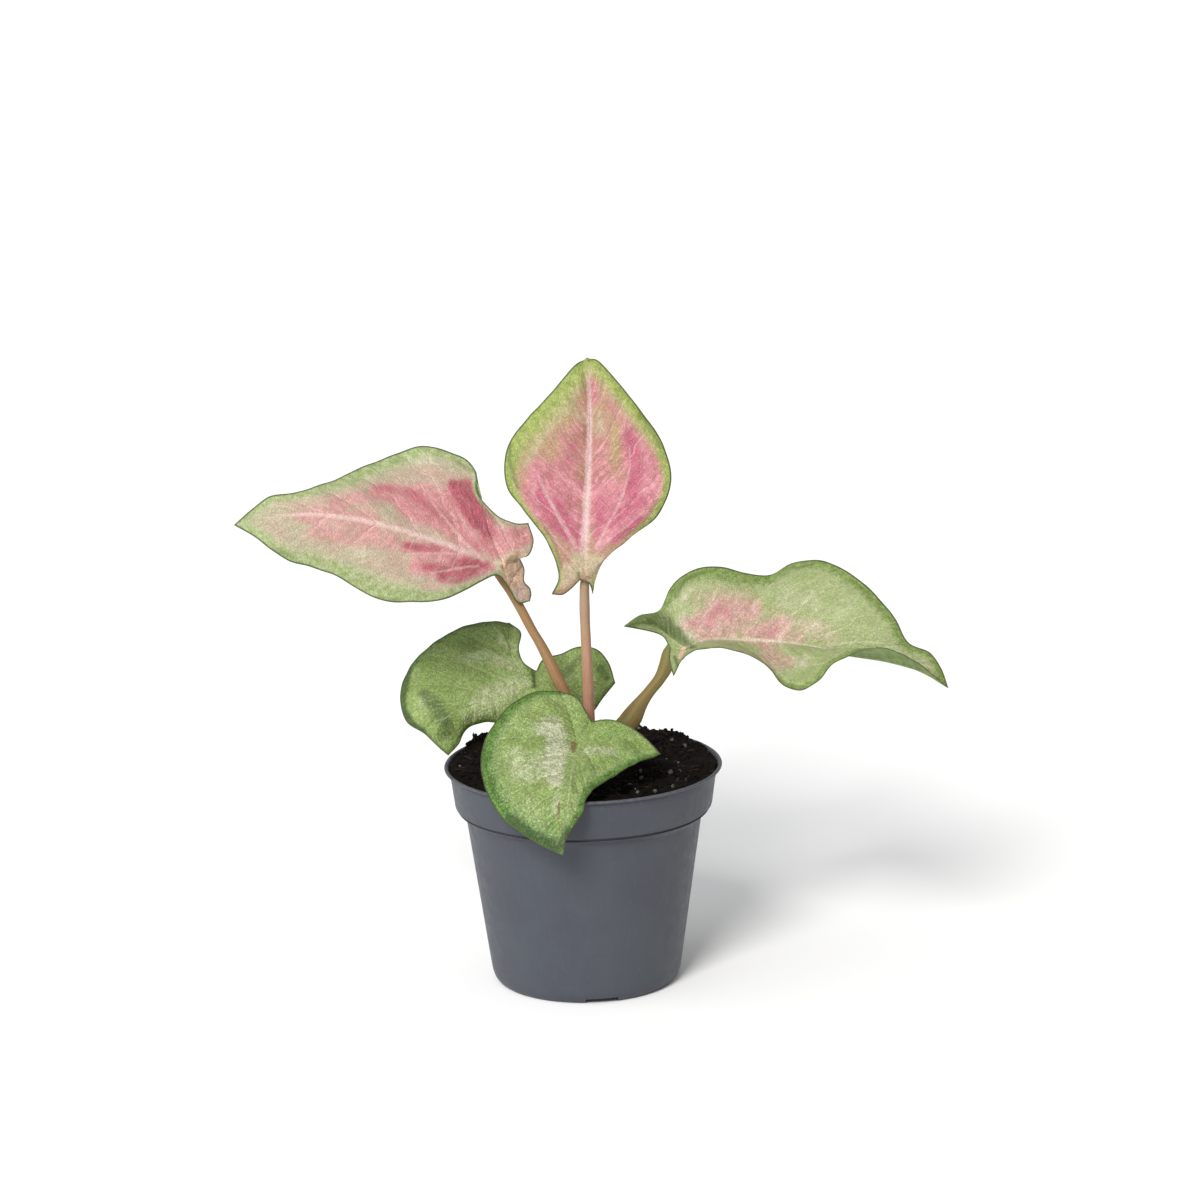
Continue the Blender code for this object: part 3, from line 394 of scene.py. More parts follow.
# Soft strokes of colour on each leaf: a strength, then points of (along, across,
# radius) in the leaf's axes.
PAINT = {
    "top": {
        "pink": [(0.95, (35.5, 20, 6.4), (30, 13.5, 8.5), (22, 6, 7.5), (16.5, 4.5, 4.3), (12.5, 3, 2.4)),
            (0.8, (44.5, 19, 5.3), (40.5, 10.5, 7.5), (37, 4.5, 5.3)),
            (0.95, (36.5, -7.5, 6.4), (27, -10.5, 8.5), (17.5, -8.5, 4.3), (13, -7, 2.1)),
            (1, (60.5, -19, 3.7), (50, -22.5, 6.4), (38, -24.5, 8), (27.5, -20, 9.1), (18, -15, 5.3)),
            (0.6, (47.5, -27, 4.8), (36, -28.5, 4.8)), (0.45, (52, 6.5, 6.4), (61.5, 4.5, 4.8)),
            (0.5, (47, -7, 5.3), (56, -6.5, 4.3)), (0.6, (75.5, -3.5, 1.9), (83.5, -3.5, 1.6)),
            (0.35, (75, -11.5, 3.2), (67, -16, 3.8))],
        "deep": [(0.6, (34.5, 19, 2.4), (25.5, 15.5, 2.9), (19, 10, 2.9), (16, 7, 1.4)),
            (0.6, (32, 12.5, 1.9), (23, 7, 2.4), (17, 3, 1.6)),
            (0.56, (32, -6.5, 2.2), (23.5, -6.5, 2.4), (16, -5, 1.4)),
            (0.68, (22.5, -11.5, 2.4), (28, -18.5, 3.1), (32, -24.5, 2.6)),
            (0.68, (15, -12.5, 1.7), (19.5, -18, 2.6), (24, -23.5, 2.2)),
            (0.64, (60.5, -18.5, 2.2), (53.5, -21, 3.1), (45, -22.5, 3.6), (36, -20, 3.6)),
            (0.38, (48, 7.5, 2.4), (56, 5.5, 2.2)), (0.38, (36, 18, 1.9), (43, 20.5, 1.6)),
            (0.34, (33, -10.5, 2.2), (27, -12, 2.6))],
        "cream": [(0.95, (9.5, 1.5, 3.8), (5, 1.5, 3.8), (1.5, 5, 3.2), (-3, 9, 2.6)),
            (0.8, (7.5, 2, 2.8), (5, -2, 3.6), (7, -6, 2.6)), (0.5, (3.5, 7.5, 2.1), (-3, 10, 2.1)),
            (0.6, (47.5, 25, 1.7), (59.5, 18.5, 1.9), (69.5, 10.5, 2.1), (80, 5, 2.1)),
            (0.5, (70, -6, 2.6), (61, -7, 2.4), (71, 5.5, 2.6)),
            (0.3, (80, -10, 1.7), (71, -17, 1.7), (60.5, -24, 1.5)), (0.5, (4, -4.5, 1.7), (-3, -1.5, 1.5))],
        "green": [(0.35, (37, -30, 2.1), (29, -28, 2.1)), (0.5, (73, 7, 3.2), (65, 8.5, 3.6)),
            (0.45, (55, 14, 3.6), (49.5, 15.5, 3.2)),
            (0.5, (65.5, -13, 3), (56, -14, 3.2), (49.5, -11.5, 2.6)), (0.9, (91, -1, 3), (87.5, -1.5, 1.9)),
            (0.8, (1, -3, 1.7), (-4.5, -2.5, 1.5))],
        "dark": [(0.5, (70.5, -23, 1.1), (63, -28, 1.3), (55, -32.5, 1.1)),
            (0.55, (56, 32, 1), (49.5, 32.5, 1), (43, 30.5, 1), (37, 28.5, 0.9)),
            (0.5, (21, 17, 0.7), (13.5, 12.5, 0.9), (3.5, 10, 0.9)),
            (0.4, (32.5, -31.5, 0.9), (21.5, -24, 0.9), (16.5, -15.5, 0.6)),
            (0.7, (1, 2.5, 1), (-1.5, 2, 0.7))],
        "veins": [(0.5, (12, 3.5, 1.2), (16, 6, 1.2), (27.5, 12.5, 1), (36.5, 17.5, 0.9), (44, 20.5, 0.6)),
            (0.45, (12, -5, 1), (19, -8.5, 0.9), (28, -13.5, 0.7), (36, -17, 0.6), (47.5, -19.5, 0.5),
             (55.5, -19, 0.5)),
            (0.4, (11, -6.5, 1), (16.5, -12, 0.9), (21.5, -18.5, 0.9), (27.5, -25.5, 0.6)),
            (0.35, (8.5, 6, 0.7), (14, 11.5, 0.6), (22, 17, 0.5)),
            (0.35, (43, 1, 0.5), (50, 5.5, 0.5), (55, 8.5, 0.4)),
            (0.35, (34, 1, 0.5), (40.5, 5.5, 0.5), (45, 9.5, 0.4)),
            (0.3, (40.5, -4, 0.5), (46.5, -9.5, 0.5), (51.5, -12.5, 0.4))],
    },
    "left": {
        "pink": [(0.99, (56, -22, 4.2), (44.5, -22.5, 5.5), (34, -23, 6.9), (25.5, -19.5, 6.9)),
            (0.94, (44.5, -16.5, 4.4), (34, -15.5, 5.3), (22.5, -11.5, 5.5), (12.5, -7, 4.4)),
            (1, (23.5, -28, 4.9), (16, -22, 5.8), (10.5, -14.5, 5.5), (5.5, -8.5, 4.9)),
            (0.99, (43.5, 1.5, 2.8), (31.5, 0.5, 3.7), (19, 0.5, 3.7)),
            (0.99, (38, 9.5, 3.9), (24.5, 9.5, 5.1), (10.5, 3, 3.7), (6, 1.5, 2.1)),
            (0.55, (88.5, -6, 2.8), (76, -8.5, 3.7), (60, -7, 4.9)),
            (0.5, (82, -0.5, 3.2), (65.5, 0.5, 3.9), (49.5, -0.5, 4.2)),
            (0.5, (76, -13.5, 2.8), (61.5, -18, 3.7)),
            (0.94, (4, -8.5, 4.9), (-2.5, -11.5, 4.9), (-8, -14.5, 4.4)),
            (0.4, (-10, 3.5, 3.6), (-12.5, 6, 2.5))],
        "deep": [(0.85, (18.5, -32.5, 3.8), (15, -26.5, 4.9), (11, -20, 4.6), (8, -14, 3.3)),
            (0.8, (24.5, -32, 2.8), (21, -27, 3.6), (17, -21, 3.6), (13.5, -16, 2.6)),
            (0.46, (44, -25, 2.6), (38, -22, 3.3), (33, -19, 3.3), (25.5, -14, 2.6)),
            (0.4, (58, -24.5, 2.3), (51.5, -25, 2.6)), (0.33, (9.5, -9, 3.1), (14, -2.5, 2.3)),
            (0.59, (44, 0.5, 1.7), (37.5, 0.5, 2.2), (30.5, -0.5, 1.8)),
            (0.46, (23, 4, 1.7), (15.5, 3.5, 2.1), (8, 2, 1.8)),
            (0.53, (35.5, 9.5, 2.1), (26, 9, 3.1), (17, 6, 2.6)),
            (0.56, (27.5, 13.5, 2.8), (21.5, 13, 2.8), (13.5, 6, 2.3)), (0.53, (17, 2.5, 2.3), (9, 0.5, 2.3)),
            (0.23, (21, -11, 1.5), (14, -6.5, 1.5)),
            (0.23, (5.5, -12, 2.3), (0, -12.5, 2.3), (-4.5, -14.5, 1.8))],
        "cream": [(0.9, (4.5, 1, 1.7), (0, -2, 1.5), (-2.5, -5, 1.3)),
            (0.45, (58.5, -36, 3.2), (50, -41, 3.6), (41.5, -43, 3.8), (33, -43, 3.6), (26.5, -39.5, 2.8)),
            (0.3, (72, 5, 3.2), (57.5, 7.5, 4.3)), (0.6, (90, 14.5, 1.3), (86.5, 15.5, 1.3)),
            # Its second stroke is a painted highlight: a tiny pale dot on the pink blob by the stalk
            (0.7, (-9, -15.5, 1.3), (-10, -11.5, 1.3)), (0.9, (-9.5, 1.5, 0.5), (-9.5, 2.5, 0.5)),
            (0.9, (-10, 3.5, 2.8), (-11.5, 5, 2.4))],
        "green": [(0.4, (97, -2, 3.2), (89.5, -2.5, 3)), (0.4, (71, 8, 3.6), (61, 9.5, 3.2)),
            (0.7, (110, -2.5, 4.3), (103, -7, 4.3), (97, -7.5, 3.2)),
            (0.6, (65.5, 16, 4.3), (52.5, 20.5, 4.3), (42, 22, 3.2)), (0.5, (90.5, 6, 4.3), (79.5, 9, 4.3)),
            (0.3, (76.5, -22.5, 3.2), (63, -31, 3.2)),
            (0.5, (60.5, -37, 3.2), (48, -43, 3.6), (35.5, -43.5, 3.6), (27, -40.5, 2.6)),
            (0.7, (24.5, -42, 2.6), (19, -38.5, 2.1))],
        "dark": [(0.5, (99.5, 9.5, 1.3), (92, 12.5, 1.3)), (0.5, (23.5, -44, 1.1), (17, -41, 1.3)),
            (0.4, (56.5, 27.5, 0.9), (46, 28.5, 0.9)),
            (0.4, (12.5, -27, 0.9), (9, -22, 0.9), (4.5, -17, 0.9)),
            (0.8, (-4, -4, 1.3), (-6, -5.5, 1.3), (-8, -5.5, 1.1))],
        "crease": [(0.5, (-1, -2, 0.9), (-3, -4, 1.1), (-5.5, -5, 0.9)),
            (0.5, (-9, -4.5, 0.4), (-7, -2, 0.5), (-6, 0.5, 0.5), (-4.5, 4, 0.4)),
            (0.35, (-1, 2, 0.4), (-2.5, 2.5, 0.4)), (0.5, (-7.5, 2.5, 0.4), (-8, 2.5, 0.4))],
        "tan": [(1, (-0.5, -0.5, 2.1), (-5, -3, 2.5), (-3.5, 1.5, 2.5), (-7, -1, 2.5), (-5, 3.5, 1.8)),
            (1, (-8, -4, 2.1), (-10, -5, 1.8)), (1, (-8.5, -3.5, 1.8), (-8.5, 0, 1.8))],
        "veins": [
            (0.52, (9, 0, 1.1), (17.5, -6, 1.1), (23.5, -11.5, 0.9), (29.5, -17.5, 0.8), (34, -22.5, 0.6)),
            (0.41, (8.5, -3, 0.9), (14, -10, 0.8), (19.5, -16, 0.8), (23.5, -22, 0.6)),
            (0.49, (11.5, 3, 0.8), (22.5, 7.5, 0.8), (33, 12.5, 0.6)),
            (0.45, (20.5, -0.5, 0.8), (33.5, 2.5, 0.8), (44.5, 4.5, 0.6)),
            (0.3, (36.5, -5, 0.7), (49.5, -2.5, 0.6), (62, -0.5, 0.6))],
    },
    "right": {
        "pink": [(0.33, (36, -7.5, 3.8), (41.5, -13, 3.1)), (0.71, (-1, 11, 3.1), (2.5, 11, 3.1)),
            (0.85, (6.5, 13.5, 4.9), (12.5, 17, 6.2), (18.5, 16.5, 6.2), (25, 18.5, 5.1)),
            (0.71, (29, 9, 4.4), (35.5, 9.5, 5.1), (40.5, 11, 3.8)),
            (0.52, (34, 1, 3.3), (40, -5, 4.1), (47, -9.5, 3.6)), (0.52, (7, 8.5, 3.3), (16.5, 11, 3.6)),
            (0.33, (1.5, 22, 4.4), (11.5, 25, 4.4), (23.5, 24.5, 4.9)),
            (0.47, (5, 6.5, 3.8), (19.5, 7.5, 4.4), (33.5, 5.5, 4.4), (47.5, 5, 3.6)),
            (0.28, (37, 16.5, 5.1), (48.5, 10.5, 5.1), (63, 6.5, 4.4))],
        "deep": [(0.6, (0.5, 11.5, 1.4), (1.5, 11, 1.2)),
            (0.6, (8, 11.5, 2.2), (9.5, 16, 2.4), (13, 20, 2.4), (15.5, 16, 2.1)),
            (0.6, (30.5, 7, 1.5), (35.5, 7.5, 2.1), (38, 10, 1.5))],
        "cream": [(0.45, (46, -7, 2.8), (55, -9.5, 3.2)), (0.3, (103, -1.5, 2.4), (109.5, -2.5, 2.1)),
            (0.7, (-4, 14, 1.7), (-1.5, 6.5, 1.7), (5, 5, 1.5), (13.5, 3.5, 1.3)),
            (0.35, (-1.5, 26.5, 2.1), (-5.5, 20.5, 2.1)), (0.4, (45, 11, 4.3), (57.5, 10.5, 4.3)),
            (0.3, (42.5, 24, 4.3), (52, 22.5, 4.3)),
            # A painted highlight: a thin bright line along the folded edge of the near basal lobe
            (1, (-8.5, -1.5, 0.6), (-7.5, -6.5, 0.6), (-6, -10, 0.5))],
        "green": [(0.8, (-4.5, 31, 2.6), (8, 33.5, 2.8), (18, 33.5, 2.4)),
            (0.7, (43, 37, 4.3), (58.5, 37.5, 4.3), (70.5, 30, 4.3)),
            (0.8, (54.5, -17.5, 4.7), (61.5, -16, 4.7), (66, -11, 3.6)),
            (0.5, (76, 20, 4.3), (86.5, 8.5, 3.2)), (1, (-9, 4, 2.4), (-7.5, -3, 2.8), (-4.5, -10.5, 1.9))],
        "dark": [(0.2, (60.5, 37.5, 1.1), (73, 28.5, 1.3), (83, 18, 1.3)),
            (0.5, (-8, 23, 1.1), (-4.5, 31, 1.1), (3.5, 35, 0.9)),
            # These dark strokes paint the shade on the basal lobes beside the stalk
            (0.75, (-29, 13.5, 1.9), (-24, 15.5, 2.8), (-17.5, 14.5, 3.8), (-11.5, 12.5, 3.3)),
            (0.75, (-9.5, 10, 2.8), (-4.5, 7, 2.4), (-0.5, 2.5, 1.4), (6, -3.5, 0.8)),
            (0.68, (-5.5, -3.5, 0.8), (-1.5, -11.5, 0.8))],
        "tan": [(0.9, (-2, 0, 1.6), (-2, -4.5, 1.1))],
        "veins": [(0.5, (61, 2.5, 0.5), (74, 4, 0.5), (87, 3.5, 0.4))],
    },
    "back": {
        "cream": [(0.6, (4.5, -3.5, 3.1), (12.5, -5.5, 3.7), (21.5, -6, 3.7), (28, -5.5, 2.4)),
            (0.45, (12, -1.5, 3.1), (21.5, -0.5, 3.7), (27.5, -0.5, 2.4), (34, -2, 1.8)),
            (0.55, (3.5, -9.5, 2.4), (8, -15.5, 3.1), (13.5, -21, 3.1), (19.5, -25, 2.4)),
            (0.5, (1.5, -17.5, 1.8), (4.5, -25, 1.8)), (0.45, (45, -19.5, 1.8), (48, -16, 1.8)),
            (0.3, (24.5, -28, 1.2), (20.5, -22.5, 1.2)), (0.35, (-15.5, 1, 3.7))],
        "green": [(0.5, (21, -17.5, 2.4), (29, -20.5, 3.7), (37.5, -21, 3.7), (41.5, -25.5, 2.4)),
            (0.85, (27, -6.5, 1.5), (36, -9, 3.1), (42, -8, 3.7), (46, -2.5, 3.7)),
            (0.35, (28.5, -37, 3.1), (15, -37.5, 2.4), (3, -30.5, 2.4)),
            (0.8, (-30, 0.5, 3.7), (-29.5, 7.5, 3.1))],
        "dark": [(0.6, (-29.5, 3.5, 2.4), (-29.5, 8.5, 1.8)),
            (0.62, (45, -19.5, 2.7), (43, -11, 3.7), (42.5, -5, 3.4), (44, -1.5, 2.7)),
            (0.9, (44.5, -34.5, 1.6), (48.5, -30, 1.7), (53, -23.5, 1.6), (55.5, -19, 1.6),
             (55, -11.5, 1.6), (52.5, -7, 1.5)), (0.4, (15, -39.5, 1.2), (5.5, -34, 1.2), (-2.5, -27.5, 1.2)),
            (0.7, (1.5, 0.5, 1), (-1.5, -6.5, 1)), (0.5, (-14, 0, 2.4), (-24, -4.5, 1.8))],
        "veins": [(0.35, (3.5, -2.5, 0.5), (13.5, -6, 0.5), (26, -8, 0.4), (37, -8.5, 0.4)),
            (0.3, (3, -3.5, 0.5), (10, -11.5, 0.4), (16.5, -20.5, 0.4), (23, -28, 0.4))],
    },
    "front": {
        "cream": [(0.85, (-3, -9, 4.2), (6.5, -7, 4.8), (17, -7.5, 4.5), (27, -5.5, 3.4)),
            (0.6, (-4, -14.5, 3.9), (-9, -10, 3.4)), (0.45, (13, -14.5, 4.7), (23.5, -15, 3.9)),
            (0.35, (35, -4, 2.3), (41, -5, 2.3)), (0.45, (6, 6, 3.1), (5.5, 15.5, 3.1)),
            (0.4, (10, -25, 4.2), (23, -21.5, 4.2)), (0.2, (34.5, -17.5, 3.9), (43.5, -11, 3.1))],
        "green": [(0.9, (7.5, -37, 2), (20.5, -35.5, 2.2), (33, -29, 2.3)),
            (1, (40.5, -23.5, 3.9), (47.5, -16, 3.6), (53.5, -8, 3.4)),
            (1, (43, 2.5, 3.1), (49, 0.5, 2.8), (54, -1.5, 3.1)), (1, (46.5, -9, 3.9), (51, -4, 3.1)),
            (0.7, (-3.5, 9, 2.3), (-8.5, 17, 1.9), (-6, 23, 1.9)), (0.5, (5.5, -24, 1.1), (4.5, -14, 0.9)),
            (0.75, (27, 6.5, 2.3), (22, 13.5, 2.3), (14, 20.5, 1.9), (5, 26.5, 1.4)),
            (0.5, (20, 0, 1.9), (31, 2, 2))],
        "dark": [(1, (42, -24, 1.7), (48, -17.5, 2.3), (53.5, -9.5, 2.6), (55, -4, 2.6)),
            (0.5, (7.5, -38.5, 0.8), (18.5, -36, 0.8), (31, -31.5, 0.9)),
            (0.9, (49, 0.5, 1.4), (54, -1, 1.9), (55, -4, 1.6)),
            (0.5, (30, 7, 0.9), (25, 13.5, 0.9), (17, 20.5, 0.9)), (0.4, (49.5, -9, 2), (47, -5.5, 1.6))],
        "crease": [(1, (1, -1, 1.2), (6.5, -0.5, 0.8)), (0.9, (38.5, -3, 0.5), (44.5, -3, 0.5)),
            (0.3, (26, -13.5, 1.1), (31, -11, 0.8))],
        "veins": [(0.3, (5.5, -1, 0.6), (18, -5, 0.6), (31.5, -5, 0.5)),
            (0.25, (1.5, -4, 0.6), (-4, -11.5, 0.5))],
    },
}


def linear(colour):
    """A photographed colour of 0 to 255 as the surface colour that this light shows so."""
    made = [((c / 255 + 0.055) / 1.055) ** 2.4 if c > 10.3 else c / 255 / 12.92 for c in colour]
    return (*(c * LIT for c in made), 1.0)


def scaled(colour, factor, more=0):
    return tuple(min(255, c * factor + more) for c in colour)


def smooth_step(value, low, high):
    t = np.clip((value - low) / (high - low), 0.0, 1.0)
    return t * t * (3 - 2 * t)


class Wire:
    """An output of a shader node. Arithmetic with it makes Math nodes."""

    def __init__(self, shader, socket):
        self.shader, self.socket = shader, socket

    def __add__(self, other):
        return self.shader.math("ADD", self, other)

    def __sub__(self, other):
        return self.shader.math("SUBTRACT", self, other)

    def __rsub__(self, other):
        return self.shader.math("SUBTRACT", other, self)

    def __mul__(self, other):
        return self.shader.math("MULTIPLY", self, other)

    __radd__ = __add__


class Shader:
    """A procedural material being wired up. A socket is fed by a wire, or set to a number or a colour."""

    def __init__(self, name):
        self.made = bpy.data.materials.new(name)
        self.made.use_nodes = True
        self.tree = self.made.node_tree
        self.surface = self.tree.nodes["Principled BSDF"]

    def feed(self, socket, value):
        if isinstance(value, Wire):
            self.tree.links.new(value.socket, socket)
        else:
            socket.default_value = value

    def node(self, kind, outputs, inputs, **fields):
        """The wanted outputs of a new node, from inputs in their order or by name or number."""
        made = self.tree.nodes.new("ShaderNode" + kind)
        for name, value in fields.items():
            setattr(made, name, value)
        for key, value in inputs.items() if isinstance(inputs, dict) else enumerate(inputs):
            self.feed(made.inputs[key], value)
        wires = [Wire(self, made.outputs[key]) for key in outputs]
        return wires if len(wires) > 1 else wires[0]

    def math(self, operation, *values):
        return self.node("Math", [0], values, operation=operation)

    def vector_math(self, operation, *values):
        return self.node("VectorMath", [0], values, operation=operation)

    def grown(self, vector, factor):
        return self.node("VectorMath", [0], {"Vector": vector, "Scale": factor}, operation="SCALE")

    def step(self, value, low, high, first=0.0, last=1.0):
        return self.node("MapRange", [0], (value, low, high, first, last), interpolation_type="SMOOTHSTEP")

    def mix(self, share, first, second, way="MIX"):
        tints = [linear(tint) if isinstance(tint, tuple) else tint for tint in (first, second)]
        return self.node("Mix", [2], {0: share, 6: tints[0], 7: tints[1]}, data_type="RGBA", blend_type=way)

    def lay(self, share, tint, way="MIX"):
        """Cover the colour so far by a share with a tint."""
        self.colour = self.mix(share, self.colour, tint, way)

    def noise(self, where, scale, detail, roughness=0.5):
        inputs = {"Vector": where, "Scale": scale, "Detail": detail, "Roughness": roughness}
        return self.node("TexNoise", [0], inputs)

    def cells(self, where, scale, feature="DISTANCE_TO_EDGE"):
        return self.node("TexVoronoi", ["Distance"], {"Vector": where, "Scale": scale}, feature=feature)

    def noise_bent(self, where, scale, reach):
        """The place, moved a little by a noise."""
        bend = self.node("TexNoise", ["Color"], {"Vector": where, "Scale": scale, "Detail": 2.0})
        centred = self.vector_math("SUBTRACT", bend, (0.5, 0.5, 0.5))
        return self.vector_math("ADD", where, self.grown(centred, reach))

    def stretched(self, where, scale):
        return self.node("Mapping", [0], {"Vector": where, "Scale": scale})

    def apart(self, vector):
        return self.node("SeparateXYZ", [0, 1, 2], [vector])

    def attribute(self, name):
        return self.node("Attribute", ["Vector"], [], attribute_name=name)

    def place(self):
        """The point of the object in millimetres."""
        return self.grown(self.node("TexCoord", ["Object"], []), 1 / MM)

    def bump(self, height, depth, strength):
        made = self.node("Bump", [0], {"Strength": strength, "Distance": depth * MM, "Height": height})
        self.feed(self.surface.inputs["Normal"], made)

    def finish(self, gloss, **fixed):
        self.feed(self.surface.inputs["Base Color"], self.colour)
        self.feed(self.surface.inputs["Roughness"], gloss)
        for name, value in fixed.items():
            self.surface.inputs[name.replace("_", " ")].default_value = value
        return self.made


def linked(name, data):
    made = bpy.data.objects.new(name, data)
    bpy.context.scene.collection.objects.link(made)
    return made


def mesh_of(name, points, faces, edges=()):
    """A mesh from points in millimetres."""
    mesh = bpy.data.meshes.new(name)
    mesh.from_pydata((np.asarray(points, float) * MM).tolist(), list(edges), faces)
    return mesh


def add_piece(name, mesh, materials, node=None, smooth=True):
    """The mesh as a finished piece that rides on the one body."""
    for made in materials:
        mesh.materials.append(made)
    mesh.polygons.foreach_set("use_smooth", np.full(len(mesh.polygons), smooth))
    mesh.update()
    piece = linked(name, mesh)
    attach(piece, BODY)
    if node:
        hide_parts(node)


def give_numbers(mesh, **numbers):
    """Attributes of three numbers at each point of the mesh."""
    for label, columns in numbers.items():
        layer = mesh.attributes.new(label, "FLOAT_VECTOR", "POINT")
        layer.data.foreach_set("vector", np.stack(columns, axis=-1).astype(np.float32).ravel())


# Curves and leaf surfaces

def lengths_along(points):
    return np.concatenate(([0.0], np.cumsum(np.linalg.norm(np.diff(points, axis=0), axis=1))))


class Line:
    """A smooth curve through points, followed by the length along it."""

    def __init__(self, points):
        knots = np.array(points, float)
        times = lengths_along(knots)
        slopes = np.gradient(knots, times, axis=0)
        t = (np.arange(1, LINE_STEPS + 1) / LINE_STEPS)[:, None]
        fine = [knots[:1]]
        for i, span in enumerate(np.diff(times)):
            start = (2 * t**3 - 3 * t**2 + 1) * knots[i] + (t**3 - 2 * t**2 + t) * span * slopes[i]
            end = (3 * t**2 - 2 * t**3) * knots[i + 1] + (t**3 - t**2) * span * slopes[i + 1]
            fine.append(start + end)
        self.points = np.concatenate(fine)
        self.lengths = lengths_along(self.points)
        self.knots = self.lengths[::LINE_STEPS]
        self.length = self.lengths[-1]

    def at(self, wanted):
        return np.stack([np.interp(wanted, self.lengths, column) for column in self.points.T], axis=-1)


def leaf_axes(heading, pitch, roll):
    h, p, q = np.radians([heading, pitch, roll])
    along = np.array([np.cos(p) * np.cos(h), np.cos(p) * np.sin(h), np.sin(p)])
    level = np.array([-np.sin(h), np.cos(h), 0.0])
    upright = np.cross(along, level)
    return np.array([along, level * np.cos(q) + upright * np.sin(q), upright * np.cos(q) - level * np.sin(q)])


def nearest(points, line):
    """Each point's distance from a chain of straight pieces, and the share of the chain up to there."""
    pieces = np.diff(line, axis=0)
    lengths = np.maximum(np.linalg.norm(pieces, axis=1), 1e-9)
    before = np.cumsum(lengths) - lengths
    best = np.full(len(points), np.inf)
    where = np.zeros(len(points))
    for start, piece, length, so_far in zip(line, pieces, lengths, before):
        t = np.clip(((points - start) @ piece) / length**2, 0.0, 1.0)
        away = np.linalg.norm(points - start - t[:, None] * piece, axis=1)
        closer = away < best
        best[closer] = away[closer]
        where[closer] = (so_far + t * length)[closer]
    return best, where / lengths.sum()


def panel(starts, ends, crown):
    """Straight ribs from starts to ends, each bulging by its crown."""
    w = np.linspace(0, 1, COLUMNS + 1)[None, :, None]
    rows = starts[:, None, :] * (1 - w) + ends[:, None, :] * w
    rows[:, :, 2] += crown[:, None] * 4 * w[:, :, 0] * (1 - w[:, :, 0])
    return rows


def half_panels(midrib, half):
    """The panels of half a blade, each with its number of side veins passed and the way its faces turn."""
    tip = half["inner"][-1]
    rib = Line(midrib)
    vein = Line([(0, 0, 0)] + half["vein"] + [tip])
    inner = Line(half["inner"])
    edge = Line([tip] + half["outer"] + half["flank"] + [midrib[-1]])
    shoulder = edge.knots[len(half["outer"])]
    lobe, base, middle, end = half["crown"]
    k = np.arange(LOBE_RIBS + 1) / LOBE_RIBS
    s = np.arange(FLANK_RIBS + 1) / FLANK_RIBS
    reach = shoulder + (edge.length - shoulder) * (s + SWEEP * s * (1 - s))
    vein_points = vein.at(vein.length * k)
    lobe_crown = 4 * lobe * k * (1 - k)
    flank_crown = np.interp(s, (0, 0.5, 0.85, 1), (base, middle, end, 0))
    inner_rows = panel(vein_points, inner.at(inner.length * k), lobe_crown)
    outer_rows = panel(vein_points, edge.at(shoulder * (1 - k)), base * (1 - k) + lobe_crown)
    flank_rows = panel(rib.at(rib.length * s), edge.at(reach), flank_crown)
    lean = VEIN_LEAN * np.linspace(0, 1, COLUMNS + 1)[None, :] ** VEIN_BEND
    k, s = k[:, None], s[:, None]
    fade = np.clip(k / 0.5, 0, 1)
    inner_count = -LOBE_VEINS * k + LOBE_VEINS * lean * fade
    outer_count = inner_count - FLANK_VEINS * lean * (1 - fade)
    flank_count = FLANK_VEINS * (s - lean)
    panels = (inner_rows, inner_count, 1), (outer_rows, outer_count, -1), (flank_rows, flank_count, 1)
    return panels, (rib, inner, edge)


def vein_spacing(rows, count):
    """Millimetres from one side vein to the next at each point of a panel."""
    pu, pw, fu, fw = *np.gradient(rows, axis=(0, 1)), *np.gradient(count)
    uu, uw, ww = (pu * pu).sum(-1), (pu * pw).sum(-1), (pw * pw).sum(-1)
    area = np.maximum(uu * ww - uw * uw, 1e-6)
    steep = (ww * fu**2 - 2 * uw * fu * fw + uu * fw**2) / area
    return np.clip(1 / np.sqrt(np.maximum(steep, 1e-6)), *SPACING_LIMITS)


def point_normals(points, faces):
    a, b, c = (points[column] for column in faces.T)
    each = np.cross(b - a, c - a)
    normals = np.zeros_like(points)
    for column in faces.T:
        np.add.at(normals, column, each)
    return normals / np.maximum(np.linalg.norm(normals, axis=1), 1e-12)[:, None]


def leaf_sheet(leaf):
    """One triangulated sheet in the leaf's own axes, and the lines it was drawn from.

    Each point comes with the side veins passed, their spacing, the share of the
    way from the rib to the margin, and the sign of its side.
    """
    midrib = [(0.0, 0.0, 0.0)] + leaf["midrib"]
    blocks, faces, lines, start = [], [], {}, 0
    for side, sign in SIDES.items():
        panels, lines[side] = half_panels(midrib, leaf[side])
        for rows, count, way in panels:
            outward = np.tile(np.linspace(0, 1, COLUMNS + 1), len(rows))
            numbers = count.ravel(), vein_spacing(rows, count).ravel(), outward, np.full(count.size, sign)
            blocks.append(np.column_stack((rows.reshape(-1, 3), *numbers)))
            grid = start + np.arange(count.size).reshape(count.shape)
            start += count.size
            a, b, c, d = grid[:-1, :-1], grid[1:, :-1], grid[1:, 1:], grid[:-1, 1:]
            pair = np.stack([np.stack([a, b, c], -1), np.stack([a, c, d], -1)]).reshape(-1, 3)
            faces.append(pair if sign * way > 0 else pair[:, ::-1])
    table = np.concatenate(blocks)
    # Points at one place to a micrometre are welded. Adding zero makes -0.0 the same as 0.0.
    rounded_points = np.round(table[:, :3], 3) + 0.0
    _, keep, welded = np.unique(rounded_points, axis=0, return_index=True, return_inverse=True)
    faces = welded.ravel()[np.concatenate(faces)]
    whole = (faces != np.roll(faces, 1, axis=1)).all(axis=1)
    return table[keep], faces[whole], lines


